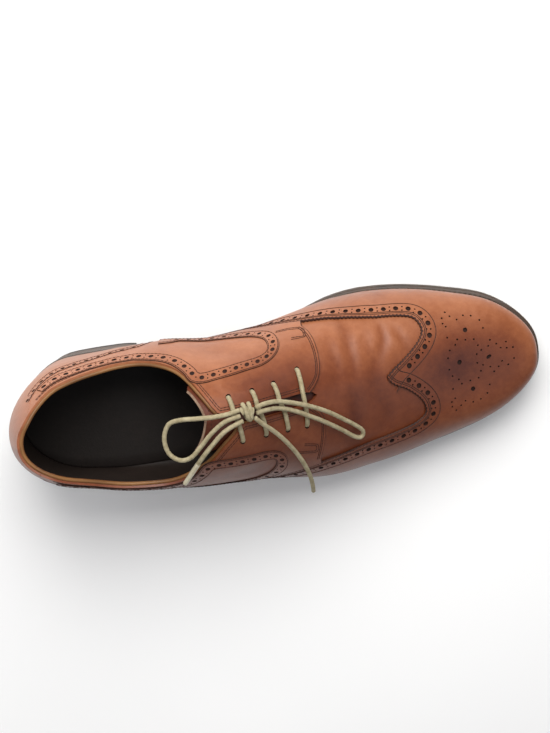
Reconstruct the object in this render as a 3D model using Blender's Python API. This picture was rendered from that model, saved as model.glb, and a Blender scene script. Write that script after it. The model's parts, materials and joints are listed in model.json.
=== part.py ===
"""A full-brogue derby shoe for the right foot, standing empty on its sole.

X runs to the toe, Y to the inner (medial) side of the foot, Z up, in metres. The origin
lies on the floor under the middle of the heel. Every curved piece is read from one last:
sections stand round the outsole's edge, from the heel's back to the toe's tip, and each
section climbs from the feather edge over its widest place to the ridge of the last.
A place on the last is (along, turn): along is the share of one side's outline from heel
to toe, and turn is in degrees, -90 at the feather edge, 0 at the widest, 90 on the ridge.
"""

import math

import bpy
import numpy as np
from mathutils.geometry import delaunay_2d_cdt

# Driving sizes
SHOE_LENGTH = 0.312
BALL_WIDTH = 0.104
TOP_HEIGHT = 0.098
HEEL_HEIGHT = 0.027
HEEL_LENGTH = 0.073
TOP_LIFT_THICK = 0.006
HEEL_TAPER = 0.0014
SOLE_THICK = 0.0048
SOLE_ROUND = 0.0008
WELT_THICK = 0.0024
WELT_WIDTH = 0.0045
WELT_UNDER = 0.0036
WALL = 0.002
OVERLAY_THICK = 0.0012
BAND_THICK = 0.0007
BAND_WIDTH = 0.0054
TONGUE_THICK = 0.0018
TONGUE_EASE = 0.0005
INSOLE_THICK = 0.002
INSOLE_EASE = 0.0009
FACING_GAP = 0.0072
EYELET_BORE = 0.003
LACE_THICK = 0.0025
TIP_THICK = 0.0028
TIP_LENGTH = 0.016
GAP = 0.0003
SEAM = 0.0007

# Half widths of the outsole, as shares of BALL_WIDTH, before its round ends are taken off
OUTLINE = [
    # along  medial  lateral
    (0.00, 0.280, 0.268),
    (0.10, 0.350, 0.310),
    (0.20, 0.361, 0.345),
    (0.30, 0.312, 0.350),
    (0.38, 0.278, 0.364),
    (0.46, 0.300, 0.394),
    (0.54, 0.382, 0.447),
    (0.62, 0.460, 0.497),
    (0.68, 0.480, 0.509),
    (0.74, 0.470, 0.497),
    (0.80, 0.442, 0.460),
    (0.86, 0.401, 0.405),
    (0.92, 0.360, 0.344),
    (1.00, 0.278, 0.257),
]
# Length and roundness of the outsole's ends: 2 is an ellipse, more is squarer
HEEL_ROUND, HEEL_POWER = 0.036, 2.1
TOE_ROUND, TOE_POWER = 0.046, 2.5

# How the upper stands on the outsole: welt in shares of WELT_WIDTH, bulge over the
# feather edge in shares of BALL_WIDTH, height of the widest place in shares of
# TOP_HEIGHT, and the roundness of the section across and upwards
FORM = [
    # along welt_m welt_l bulge_m bulge_l widest across upward
    (0.00, 0.35, 0.35, 0.000, 0.000, 0.220, 1.35, 1.65),
    (0.15, 0.38, 0.35, 0.006, 0.010, 0.220, 1.55, 1.76),
    (0.22, 0.38, 0.40, 0.028, 0.042, 0.220, 1.60, 1.81),
    (0.30, 0.30, 0.45, 0.074, 0.078, 0.220, 1.60, 1.85),
    (0.42, 0.25, 0.60, 0.080, 0.095, 0.200, 1.65, 1.94),
    (0.54, 0.60, 0.85, 0.042, 0.109, 0.150, 1.75, 2.02),
    (0.66, 0.95, 0.95, 0.013, 0.037, 0.110, 1.87, 2.04),
    (0.80, 1.00, 1.00, 0.012, -0.010, 0.100, 2.05, 2.13),
    (0.92, 1.15, 1.10, 0.010, 0.000, 0.095, 2.27, 2.29),
    (1.00, 1.30, 1.30, 0.010, 0.010, 0.090, 2.38, 2.40),
]
# Underside of the outsole in shares of HEEL_HEIGHT, ridge of the closed last in shares
# of TOP_HEIGHT, and how far the ridge leans to the medial side in shares of BALL_WIDTH
PROFILE = [
    # along bottom ridge spine
    (0.00, 1.000, 1.325, 0.007),
    (0.10, 0.990, 1.290, 0.010),
    (0.22, 0.940, 1.222, 0.010),
    (0.30, 0.800, 1.145, 0.008),
    (0.36, 0.620, 1.073, 0.003),
    (0.42, 0.420, 1.000, -0.002),
    (0.50, 0.200, 0.869, 0.007),
    (0.58, 0.045, 0.732, 0.020),
    (0.64, 0.000, 0.643, 0.025),
    (0.72, 0.000, 0.546, 0.026),
    (0.80, 0.050, 0.468, 0.025),
    (0.88, 0.160, 0.402, 0.020),
    (0.94, 0.270, 0.363, 0.014),
    (1.00, 0.390, 0.333, 0.006),
]
# Where the ridge starts and ends, as shares of SHOE_LENGTH
RIDGE_BACK, RIDGE_FRONT, RIDGE_BLEND = 0.10, 0.905, 0.14

# The collar's edge as turns, and where the gap between the facings ends
COLLAR = [
    # along medial lateral
    (0.00, 42.0, 42.0),
    (0.05, 42.0, 42.0),
    (0.10, 38.0, 41.5),
    (0.15, 31.5, 37.5),
    (0.20, 26.0, 32.0),
    (0.25, 25.0, 30.0),
    (0.30, 30.5, 33.5),
    (0.34, 43.0, 45.0),
    (0.37, 64.0, 56.0),
    (0.39, 81.0, 66.0),
    (0.415, 95.0, 78.0),
    (0.43, 100.0, 88.0),
]
THROAT = 0.550
THROAT_ROUND = 0.030
LOWEST_TURN = -60.0

# Edge of the wing cap, from the tail at the waist to the point on the ridge
WING_EDGE = [
    # along_m turn_m along_l turn_l
    (0.366, -60.0, 0.366, -60.0),
    (0.378, -34.0, 0.378, -34.0),
    (0.398, -16.0, 0.398, -8.0),
    (0.430, -4.0, 0.430, 12.0),
    (0.478, 6.0, 0.478, 26.0),
    (0.537, 20.5, 0.532, 38.0),
    (0.595, 31.5, 0.590, 44.5),
    (0.655, 40.0, 0.640, 47.5),
    (0.700, 42.5, 0.680, 49.5),
    (0.726, 46.0, 0.708, 52.0),
    (0.737, 56.0, 0.725, 57.0),
    (0.733, 64.0, 0.727, 64.0),
    (0.718, 72.0, 0.718, 72.0),
    (0.695, 80.0, 0.697, 80.0),
    (0.678, 85.0, 0.675, 85.0),
    (0.665, 90.0, 0.665, 90.0),
]
# Front edge of the quarters, from the facing down to the wing cap
QUARTER_FRONT = [
    # along_m turn_m along_l turn_l
    (0.536, 84.5, 0.536, 84.0),
    (0.546, 80.0, 0.550, 77.5),
    (0.555, 73.0, 0.555, 71.0),
    (0.559, 62.0, 0.553, 63.0),
    (0.557, 48.0, 0.549, 55.0),
    (0.551, 37.0, 0.545, 49.0),
    (0.542, 28.5, 0.542, 44.5),
]
# Edge of the heel counter, from its lower front corner to the collar
COUNTER_EDGE = [
    # along turn
    (0.300, -60.0),
    (0.296, -20.0),
    (0.286, 2.0),
    (0.255, 8.0),
    (0.205, 12.0),
    (0.160, 17.5),
    (0.120, 24.5),
    (0.095, 31.0),
]
COUNTER_END = 0.080
# Middle of the brogued band on a quarter, from the counter round to the collar
BAND_LINE = [
    # along_m turn_m along_l turn_l
    (0.306, -1.5, 0.306, 3.0),
    (0.350, 1.5, 0.350, 9.0),
    (0.392, 6.5, 0.392, 15.5),
    (0.437, 13.0, 0.434, 24.0),
    (0.466, 17.5, 0.461, 32.0),
    (0.486, 25.0, 0.475, 40.0),
    (0.493, 34.0, 0.479, 46.5),
    (0.489, 42.0, 0.474, 52.0),
    (0.471, 46.5, 0.458, 54.0),
    (0.440, 47.5, 0.430, 53.0),
    (0.400, 48.5, 0.398, 52.0),
    (0.363, 49.0, 0.364, 51.5),
    (0.352, 42.5, 0.351, 45.0),
    (0.337, 35.0, 0.336, 37.5),
    (0.320, 29.5, 0.320, 32.0),
    (0.298, 25.5, 0.298, 28.5),
    (0.270, 21.5, 0.272, 25.0),
]
# Sides of the tongue, from its top to where it meets the vamp
TONGUE_SIDES = [
    # along medial lateral
    (0.349, 54.0, 62.0),
    (0.354, 50.0, 58.0),
    (0.400, 60.0, 64.0),
    (0.480, 66.0, 68.0),
    (0.600, 72.0, 72.0),
]
# Eyelets, from the throat to the top
EYELETS = [
    # along_m turn_m along_l turn_l
    (0.522, 63.0, 0.525, 71.0),
    (0.482, 67.5, 0.494, 71.0),
    (0.446, 68.0, 0.458, 70.5),
    (0.408, 68.0, 0.420, 69.0),
]

# The lace from the knot on, in metres
KNOT_AT = (0.0987, 0.0034, 0.1048)
KNOT_SIZE = (0.0080, 0.0092, 0.0054)
LOOP_1 = [
    (0.0944, 0.0053, 0.1062),
    (0.0890, 0.0044, 0.1077),
    (0.0810, 0.0040, 0.1087),
    (0.0720, 0.0044, 0.1085),
    (0.0635, 0.0046, 0.1070),
    (0.0570, 0.0032, 0.1052),
    (0.0535, -0.0020, 0.1035),
    (0.0527, -0.0085, 0.1020),
    (0.0545, -0.0145, 0.1010),
    (0.0595, -0.0182, 0.1010),
    (0.0655, -0.0172, 0.1022),
    (0.0715, -0.0118, 0.1042),
    (0.0780, -0.0052, 0.1062),
    (0.0860, 0.0004, 0.1076),
    (0.0946, 0.0022, 0.1063),
]
END_1 = [
    (0.0957, -0.0008, 0.1054),
    (0.0885, -0.0034, 0.1062),
    (0.0835, -0.0064, 0.1056),
    (0.0770, -0.0125, 0.1035),
    (0.0715, -0.0182, 0.1012),
    (0.0680, -0.0225, 0.0985),
]
LOOP_2 = [
    (0.1034, 0.0051, 0.1050),
    (0.1080, 0.0060, 0.1022),
    (0.1150, 0.0054, 0.0972),
    (0.1240, 0.0022, 0.0918),
    (0.1330, -0.0020, 0.0864),
    (0.1420, -0.0076, 0.0796),
    (0.1500, -0.0140, 0.0730),
    (0.1570, -0.0200, 0.0670),
    (0.1610, -0.0246, 0.0632),
    (0.1600, -0.0282, 0.0618),
    (0.1560, -0.0270, 0.0644),
    (0.1490, -0.0208, 0.0704),
    (0.1400, -0.0134, 0.0784),
    (0.1315, -0.0074, 0.0848),
    (0.1230, -0.0020, 0.0906),
    (0.1150, 0.0014, 0.0958),
    (0.1085, 0.0024, 0.1012),
    (0.1036, 0.0022, 0.1048),
]
END_2 = [
    (0.1022, -0.0002, 0.1047),
    (0.1060, -0.0050, 0.1015),
    (0.1110, -0.0105, 0.0965),
    (0.1165, -0.0180, 0.0905),
    (0.1215, -0.0270, 0.0825),
    (0.1255, -0.0365, 0.0745),
    (0.1280, -0.0460, 0.0650),
    (0.1290, -0.0545, 0.0550),
    (0.1292, -0.0600, 0.0450),
]

# The net of lines that every piece of the upper shares
STATIONS = [i / 32 for i in range(33)]
TURNS = [-90, -60, -30, 0, 13, 26, 39, 52, 65, 78, 90]
NET_SCALE = 400.0
NET_WELD = 0.04

SHOE = bpy.data.collections.new("brogue_shoe")


def smooth_table(rows, column, at):
    """A smooth curve through one column of a table, flat at its own peaks."""
    x = np.array([row[0] for row in rows])
    y = np.array([row[column] for row in rows])
    step = np.diff(x)
    rise = np.diff(y) / step
    slope = np.empty(len(x))
    slope[0] = rise[0]
    slope[-1] = rise[-1]
    middle = (rise[:-1] * step[1:] + rise[1:] * step[:-1]) / (step[1:] + step[:-1])
    most = 3 * np.minimum(np.abs(rise[:-1]), np.abs(rise[1:]))
    kept = np.sign(middle) * np.minimum(np.abs(middle), most)
    slope[1:-1] = np.where(rise[:-1] * rise[1:] <= 0, 0, kept)
    at = np.clip(np.asarray(at, float), x[0], x[-1])
    i = np.clip(np.searchsorted(x, at, side="right") - 1, 0, len(x) - 2)
    s = (at - x[i]) / step[i]
    start = (2 * s**3 - 3 * s**2 + 1) * y[i] + (s**3 - 2 * s**2 + s) * step[i] * slope[i]
    end = (3 * s**2 - 2 * s**3) * y[i + 1] + (s**3 - s**2) * step[i] * slope[i + 1]
    return start + end


def round_end(distance, length, power):
    """Share of the full width at a distance from a round end."""
    u = np.clip(distance / length, 0, 1)
    return (1 - (1 - u) ** power) ** (1 / power)


def lower_of(a, b, blend):
    """The smaller of two values, blended smoothly where they cross."""
    h = np.clip(0.5 + 0.5 * (b - a) / blend, 0, 1)
    return b * (1 - h) + a * h - blend * h * (1 - h)


def dense_outline(side):
    """The outsole's edge on one side as close points, with their lengths from the heel."""
    t = np.linspace(0, 1, 3001)
    once = 0.5 - 0.5 * np.cos(np.pi * t)
    x = SHOE_LENGTH * (0.5 - 0.5 * np.cos(np.pi * once))
    width = BALL_WIDTH * smooth_table(OUTLINE, 1 if side > 0 else 2, x / SHOE_LENGTH)
    width = width * round_end(x, HEEL_ROUND, HEEL_POWER)
    width = width * round_end(SHOE_LENGTH - x, TOE_ROUND, TOE_POWER)
    steps = np.hypot(np.diff(x), np.diff(width))
    return x, side * width, np.concatenate([[0.0], np.cumsum(steps)])


DENSE = {side: dense_outline(side) for side in (1, -1)}


def edge_point(side, length):
    """Point of the outsole's edge, which runs on round both ends."""
    x, y, lengths = DENSE[side]
    past = (length > lengths[-1]) | (length < 0)
    folded = np.where(length > lengths[-1], 2 * lengths[-1] - length, np.abs(length))
    across = np.interp(folded, lengths, y) * np.where(past, -1.0, 1.0)
    return np.stack([np.interp(folded, lengths, x), across], 1)


def outline(side, along):
    """Edge points and outward normals at shares of the side's length."""
    reach = np.asarray(along, float) * DENSE[side][2][-1]
    near = SHOE_LENGTH / 300
    way = edge_point(side, reach + near) - edge_point(side, reach - near)
    way /= np.linalg.norm(way, axis=1)[:, None]
    return edge_point(side, reach), np.stack([-way[:, 1], way[:, 0]], 1) * side


def bottom(x):
    """Height of the outsole's underside over the floor."""
    return HEEL_HEIGHT * smooth_table(PROFILE, 1, x / SHOE_LENGTH)


def feather_height(x):
    """Height at which the upper stands on the welt."""
    return bottom(x) + SOLE_THICK + WELT_THICK + 2 * GAP


def feather(side, along, inset=0.0):
    """Feather edge of the last, moved inwards by an inset."""
    edge, normal = outline(side, along)
    share = edge[:, 0] / SHOE_LENGTH
    welt = WELT_WIDTH * smooth_table(FORM, 1 if side > 0 else 2, share)
    return edge - normal * (welt + inset)[:, None], normal, share


def widest(side, along):
    """Widest points of the sections."""
    edge, normal, share = feather(side, along)
    bulge = BALL_WIDTH * smooth_table(FORM, 3 if side > 0 else 4, share)
    return edge + normal * bulge[:, None]


def ridge_point(along):
    """Plan points of the ridge where the two sides' sections meet."""
    x = (widest(1, along)[:, 0] + widest(-1, along)[:, 0]) / 2
    blend = RIDGE_BLEND * SHOE_LENGTH
    x = -lower_of(-x, np.full(len(x), -RIDGE_BACK * SHOE_LENGTH), blend)
    x = lower_of(x, np.full(len(x), RIDGE_FRONT * SHOE_LENGTH), blend)
    return np.stack([x, BALL_WIDTH * smooth_table(PROFILE, 3, x / SHOE_LENGTH)], 1)


def section_points(side, along, turn):
    """Points of the closed last on one side, x from the heel's back."""
    low, _, share = feather(side, along)
    wide = widest(side, along)
    top = ridge_point(along)
    across = smooth_table(FORM, 6, share)
    upward = smooth_table(FORM, 7, share)
    low_z = feather_height(low[:, 0])
    wide_z = low_z + TOP_HEIGHT * smooth_table(FORM, 5, share)
    angle = np.radians(turn)
    cosine = np.clip(np.cos(angle), 0, 1)
    sine = np.sin(angle)
    above = (angle >= 0)[:, None]
    over = top + (wide - top) * (cosine ** (2 / across))[:, None]
    under = low + (wide - low) * cosine[:, None]
    plan = np.where(above, over, under)
    ridge = TOP_HEIGHT * smooth_table(PROFILE, 2, plan[:, 0] / SHOE_LENGTH)
    rise = wide_z + (ridge - wide_z) * np.abs(sine) ** (2 / upward)
    drop = wide_z + (wide_z - low_z) * sine
    return np.column_stack([plan, np.where(angle >= 0, rise, drop)])


def last_points(side, along, turn):
    """Points of the closed last, running on over the ridge and round both ends."""
    side = np.where(turn > 90, -side, side)
    turn = np.where(turn > 90, 180 - turn, turn)
    side = np.where((along > 1) | (along < 0), -side, side)
    along = np.where(along > 1, 2 - along, np.abs(along))
    medial = section_points(1, along, turn)
    lateral = section_points(-1, along, turn)
    return np.where((side > 0)[:, None], medial, lateral)


def on_last(side, along, turn, height):
    """Points at a height over the last, in the part's own frame."""
    along = np.asarray(along, float)
    turn = np.asarray(turn, float)
    side = np.broadcast_to(np.asarray(side, float), along.shape)
    near = 0.006
    lean = 2.5
    apart = np.clip(along, 2 * near, 1 - 2 * near)
    at = np.where(np.abs(turn - 90) < lean, apart, along)
    tilt = np.clip(turn, LOWEST_TURN, 180 - LOWEST_TURN)
    forward = last_points(side, at + near, tilt) - last_points(side, at - near, tilt)
    upward = last_points(side, at, tilt + lean) - last_points(side, at, tilt - lean)
    normal = np.cross(upward, forward) * side[:, None]
    normal /= np.linalg.norm(normal, axis=1)[:, None]
    points = last_points(side, along, turn) + normal * height
    points[:, 0] -= HEEL_LENGTH / 2
    return points


def net_metres(side, along, turn):
    """Metres on the last for a whole step of along and for one degree of turn."""
    here = on_last(side, [along, along, along], [turn, turn - 1, turn], 0.0)
    aside = on_last(side, [along - 0.01, along + 0.01], [turn, turn], 0.0)
    return np.linalg.norm(aside[1] - aside[0]) / 0.02, np.linalg.norm(here[0] - here[1])


def beside(side, line, distance):
    """A line of places moved sideways, to its left as (along, turn) are drawn."""
    sizes = [net_metres(side, a, t) for a, t in line]
    moved = []
    for i, (a, t) in enumerate(line):
        per_along, per_turn = sizes[i]
        before = line[max(i - 1, 0)]
        after = line[min(i + 1, len(line) - 1)]
        run = (after[0] - before[0]) * per_along
        climb = (after[1] - before[1]) * per_turn
        length = math.hypot(run, climb)
        moved.append((a - climb / length * distance / per_along, t + run / length * distance / per_turn))
    return moved


def ring(side, place, bore, corners=6):
    """A small round hole's outline at a place."""
    per_along, per_turn = net_metres(side, *place)
    outline_points = []
    for i in range(corners):
        angle = math.tau * i / corners
        a = place[0] + math.cos(angle) * bore / 2 / per_along
        t = place[1] + math.sin(angle) * bore / 2 / per_turn
        outline_points.append((a, t))
    return outline_points


def side_columns(rows, side):
    """The (along, turn) pairs of one side from a table that holds both."""
    if side > 0:
        return [(row[0], row[1]) for row in rows]
    return [(row[2], row[3]) for row in rows]


def spline(line, parts):
    """A rounder line through the given places."""
    result = []
    for i in range(len(line) - 1):
        a, b, c, d = (np.array(line[min(max(i + j, 0), len(line) - 1)]) for j in (-1, 0, 1, 2))
        for step in range(parts):
            s = step / parts
            curve = b + 0.5 * s * (c - a + s * (2 * a - 5 * b + 4 * c - d + s * (3 * (b - c) + d - a)))
            result.append(tuple(float(v) for v in curve))
    result.append(tuple(float(v) for v in line[-1]))
    return result


def facing_turn(side, along):
    """Turn of the facing's edge, half the gap away from the ridge."""
    share = min(max((THROAT - along) / THROAT_ROUND, 0.0), 1.0)
    half = FACING_GAP / 2 * math.sqrt(1 - (1 - share) ** 2)
    at = np.array([along])
    reach = np.linalg.norm(widest(side, at)[0] - ridge_point(at)[0])
    across = smooth_table(FORM, 6, feather(side, at)[2])[0]
    return math.degrees(math.acos((half / reach) ** (across / 2)))


def collar_turn(side, along):
    """Turn of the opening's edge, at the collar and along the facing."""
    collar = float(smooth_table(COLLAR, 1 if side > 0 else 2, along))
    if along > COLLAR[-1][0]:
        return facing_turn(side, along)
    return min(collar, facing_turn(side, along))


def opening_line(side, start, end, parts):
    """The opening's edge between two stations."""
    return [(a, collar_turn(side, a)) for a in np.linspace(start, end, parts + 1)]


def area(loop):
    """Signed area inside a loop of places."""
    pairs = zip(loop, loop[1:] + loop[:1])
    return sum(a[0] * b[1] - b[0] * a[1] for a, b in pairs) / 2


def cut_net(border, holes):
    """The net's cells inside a border and outside its holes, as places and triangles."""
    low = min(a for a, _ in border) - 0.03
    high = max(a for a, _ in border) + 0.03
    least = min(t for _, t in border) - 35
    most = max(t for _, t in border) + 15
    stations = [a for a in STATIONS if low < a < high]
    turns = [t for t in TURNS if least < t < most]
    places = [(a, t) for a in stations for t in turns]
    rows = len(turns)
    edges = []
    for i in range(len(stations)):
        for j in range(rows):
            here = i * rows + j
            if j + 1 < rows:
                edges.append((here, here + 1))
            if i + 1 < len(stations):
                edges.append((here, here + rows))
            if j + 1 < rows and i + 1 < len(stations):
                edges.append((here, here + rows + 1))
    loops = []
    for loop in [border] + holes:
        loops.append(list(range(len(places), len(places) + len(loop))))
        places += loop if area(loop) > 0 else loop[::-1]
    flat = [(a * NET_SCALE, t) for a, t in places]
    found = delaunay_2d_cdt(flat, edges, loops, 0, NET_WELD, True)
    corners = [(p[0] / NET_SCALE, p[1]) for p in found[0]]
    inside = [face for face, source in zip(found[2], found[5]) if list(source) == [0]]
    return corners, inside


def add_mesh(name, points, faces, material):
    """One closed object from points and faces, triangulated and smooth."""
    mesh = bpy.data.meshes.new(name)
    mesh.from_pydata([tuple(p) for p in points], [], faces)
    mesh.validate()
    mesh.shade_smooth()
    mesh.set_sharp_from_angle(angle=math.radians(40))
    obj = bpy.data.objects.new(name, mesh)
    mesh.materials.append(material)
    SHOE.objects.link(obj)
    return obj


def shell(name, borders, holes, inner, outer, material):
    """A piece of the upper between two heights over the last, cut along its borders."""
    index = {}
    sides = []
    places = []
    triangles = []
    for side, border in borders.items():
        corners, faces = cut_net(border, holes.get(side, []))
        plain = on_last(side, [c[0] for c in corners], [c[1] for c in corners], 0.0)
        ids = []
        for corner, point in zip(corners, plain):
            key = tuple(np.round(point / 2e-6).astype(int))
            if key not in index:
                index[key] = len(places)
                places.append(corner)
                sides.append(side)
            ids.append(index[key])
        for face in faces:
            loop = [ids[i] for i in face]
            if len(set(loop)) == 3:
                triangles.append(loop if side < 0 else loop[::-1])
    used = sorted({i for loop in triangles for i in loop})
    order = {old: new for new, old in enumerate(used)}
    side = np.array([sides[i] for i in used], float)
    along = np.array([places[i][0] for i in used])
    turn = np.array([places[i][1] for i in used])
    top = on_last(side, along, turn, outer)
    under = on_last(side, along, turn, inner)
    count = len(used)
    triangles = [[order[i] for i in loop] for loop in triangles]
    faces = list(triangles) + [[i + count for i in loop[::-1]] for loop in triangles]
    ways = {(loop[i], loop[(i + 1) % 3]) for loop in triangles for i in range(3)}
    for a, b in ways:
        if (b, a) not in ways:
            faces.append([b, a, a + count, b + count])
    return add_mesh(name, np.concatenate([top, under]), faces, material)


def material(name, colour, roughness, metallic=0.0):
    """A Principled BSDF with a colour, roughness and metallic value."""
    made = bpy.data.materials.new(name)
    made.use_nodes = True
    shader = made.node_tree.nodes["Principled BSDF"]
    shader.inputs["Base Color"].default_value = (*colour, 1)
    shader.inputs["Roughness"].default_value = roughness
    shader.inputs["Metallic"].default_value = metallic
    made.diffuse_color = (*colour, 1)
    return made


def plan_chain(side, along, chain):
    """Points of one side's chain at each station: an inset from the edge, or from the
    feather edge, and a height over the outsole's underside or the floor."""
    result = []
    for base, inset, height_base, height in chain:
        if base == "edge":
            edge, normal = outline(side, along)
            plan = edge - normal * inset
        else:
            plan = feather(side, along, inset)[0]
        level = bottom(plan[:, 0]) if height_base == "sole" else 0.0
        points = np.column_stack([plan, level + height + 0.0 * plan[:, 0]])
        points[:, 0] -= HEEL_LENGTH / 2
        result.append(points)
    return np.stack(result, 1)


def welded_mesh(name, points, faces, material_used):
    """A mesh whose points that fall together are made one."""
    index = {}
    kept = []
    ids = []
    for point in points:
        key = tuple(np.round(np.array(point) / 2e-6).astype(int))
        if key not in index:
            index[key] = len(kept)
            kept.append(point)
        ids.append(index[key])
    clean = []
    for face in faces:
        loop = []
        for i in face:
            if not loop or ids[i] != loop[-1]:
                loop.append(ids[i])
        if loop[0] == loop[-1]:
            loop.pop()
        if len(set(loop)) >= 3:
            clean.append(loop)
    return add_mesh(name, kept, clean, material_used)


def plate(name, chain, ends, material_used):
    """A plate under the foot: each side's chain climbs its edge, and strips close it
    below and above. ends gives each side's last station, 1 for the toe's tip."""
    count = round(len(STATIONS) * max(ends.values()))
    sides = [plan_chain(s, np.linspace(0, ends[s], count), chain) for s in (1, -1)]
    levels = len(chain)
    points = np.concatenate([s.reshape(-1, 3) for s in sides])
    other = count * levels
    faces = []
    for i in range(count - 1):
        a = i * levels
        b = a + levels
        for j in range(levels - 1):
            faces.append([b + j, a + j, a + j + 1, b + j + 1])
            faces.append([other + a + j, other + b + j, other + b + j + 1, other + a + j + 1])
        faces.append([a, b, other + b, other + a])
        faces.append([b + levels - 1, a + levels - 1, other + a + levels - 1, other + b + levels - 1])
    if max(ends.values()) < 1:
        a = (count - 1) * levels
        faces.append([a + j for j in range(levels)] + [other + a + j for j in reversed(range(levels))])
    return welded_mesh(name, points, faces, material_used)


def rim(name, chain, material_used):
    """A flat rim all the way round: the chain is one closed section."""
    along = np.array(STATIONS)
    medial = plan_chain(1, along, chain)
    lateral = plan_chain(-1, along, chain)
    loops = np.concatenate([medial, lateral[-2:0:-1]])
    count = len(loops)
    levels = len(chain)
    faces = []
    for i in range(count):
        a = i * levels
        b = (i + 1) % count * levels
        for j in range(levels):
            k = (j + 1) % levels
            faces.append([b + j, a + j, a + k, b + k])
    return welded_mesh(name, loops.reshape(-1, 3), faces, material_used)


def evenly(route, spacing):
    """Points at an even spacing along the smooth curve through a route."""
    fine = np.array(spline(route, 12))
    steps = np.linalg.norm(np.diff(fine, axis=0), axis=1)
    lengths = np.concatenate([[0.0], np.cumsum(steps)])
    at = np.linspace(0, lengths[-1], max(round(lengths[-1] / spacing), 1) + 1)
    return np.stack([np.interp(at, lengths, fine[:, i]) for i in range(3)], 1)


def tube(name, route, thickness, material_used):
    """A round cord through a route, with closed ends."""
    points = evenly(route, 2.4 * thickness)
    data = bpy.data.curves.new(name, "CURVE")
    data.dimensions = "3D"
    data.bevel_depth = thickness / 2
    data.bevel_resolution = 2
    data.use_fill_caps = True
    line = data.splines.new("POLY")
    line.points.add(len(points) - 1)
    for target, point in zip(line.points, points):
        target.co = (*point, 1)
    data.materials.append(material_used)
    obj = bpy.data.objects.new(name, data)
    SHOE.objects.link(obj)
    return obj


def along_at(side, x):
    """Share of a side's outline at a distance from the heel's back."""
    points, _, lengths = DENSE[side]
    return float(np.interp(x, points, lengths) / lengths[-1])


def build_bottom(paint):
    """Heel, outsole, welt and insole."""
    ends = {side: along_at(side, HEEL_LENGTH) for side in (1, -1)}
    lift = [
        ("edge", HEEL_TAPER + SOLE_ROUND, "floor", 0.0),
        ("edge", HEEL_TAPER, "floor", SOLE_ROUND),
        ("edge", HEEL_TAPER, "floor", TOP_LIFT_THICK),
    ]
    plate("top_lift", lift, ends, paint["rubber"])
    stack = [
        ("edge", HEEL_TAPER, "floor", TOP_LIFT_THICK + GAP),
        ("edge", HEEL_TAPER / 2, "sole", -GAP),
    ]
    plate("heel_stack", stack, ends, paint["stack"])
    sole = [
        ("edge", SOLE_ROUND, "sole", 0.0),
        ("edge", 0.0, "sole", SOLE_ROUND),
        ("edge", 0.0, "sole", SOLE_THICK - SOLE_ROUND),
        ("edge", SOLE_ROUND, "sole", SOLE_THICK),
    ]
    plate("outsole", sole, {1: 1.0, -1: 1.0}, paint["sole"])
    welt_low = SOLE_THICK + GAP
    welt = [
        ("edge", SOLE_ROUND, "sole", welt_low),
        ("edge", SOLE_ROUND, "sole", welt_low + WELT_THICK),
        ("feather", WELT_UNDER, "sole", welt_low + WELT_THICK),
        ("feather", WELT_UNDER, "sole", welt_low),
    ]
    rim("welt", welt, paint["sole"])
    step = welt_low + WELT_THICK + GAP
    insole = [
        ("feather", WELT_UNDER + GAP, "sole", welt_low),
        ("feather", WELT_UNDER + GAP, "sole", step),
        ("feather", WALL + INSOLE_EASE, "sole", step),
        ("feather", WALL + INSOLE_EASE, "sole", step + INSOLE_THICK),
    ]
    plate("insole", insole, {1: 1.0, -1: 1.0}, paint["lining"])


def upper_border(side):
    """Outline of the whole upper on one side."""
    low = [(0.0, -90.0), (1.0, -90.0), (1.0, 90.0)]
    return low + opening_line(side, THROAT, 0.0, 33)


def wing_line(side):
    """The wing cap's edge, from its tail to its point."""
    return spline(side_columns(WING_EDGE, side), 2)


def wing_border(side):
    """Outline of the wing cap on one side."""
    return wing_line(side) + [(1.0, 90.0), (1.0, LOWEST_TURN)]


def counter_line(side):
    """The counter's edge, up to the collar."""
    return spline(COUNTER_EDGE, 2) + [(COUNTER_END, collar_turn(side, COUNTER_END))]


def counter_border(side):
    """Outline of the heel counter on one side."""
    collar = opening_line(side, COUNTER_END, 0.0, 4)[1:]
    return counter_line(side) + collar + [(0.0, LOWEST_TURN)]


def quarter_border(side):
    """Outline of a quarter: collar, facing, front edge, wing cap, feather and counter."""
    rear = beside(side, counter_line(side), -SEAM)
    start = rear[-1][0]
    rear[-1] = (start, collar_turn(side, start))
    front = side_columns(QUARTER_FRONT, side)
    top = opening_line(side, start, front[0][0], 24)[1:-1]
    above_wing = beside(side, wing_line(side), SEAM)
    below = [place for place in above_wing if place[0] < front[-1][0]]
    corner = above_wing[len(below)]
    share = (front[-1][0] - below[-1][0]) / (corner[0] - below[-1][0])
    meet = (front[-1][0], below[-1][1] + share * (corner[1] - below[-1][1]))
    below[0] = (below[0][0], LOWEST_TURN)
    rear[0] = (rear[0][0], LOWEST_TURN)
    return rear + top + spline(front, 2) + [meet] + below[::-1]


def band_border(side):
    """Outline of the brogued band on a quarter."""
    line = spline(side_columns(BAND_LINE, side), 2)
    return beside(side, line, BAND_WIDTH / 2) + beside(side, line, -BAND_WIDTH / 2)[::-1]


def tongue_border(side):
    """Outline of the tongue on one side."""
    edge = [(row[0], row[1 if side > 0 else 2]) for row in TONGUE_SIDES]
    top = TONGUE_SIDES[0][0]
    return [(top, 90.0)] + edge + [(edge[-1][0], 90.0)]


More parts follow.
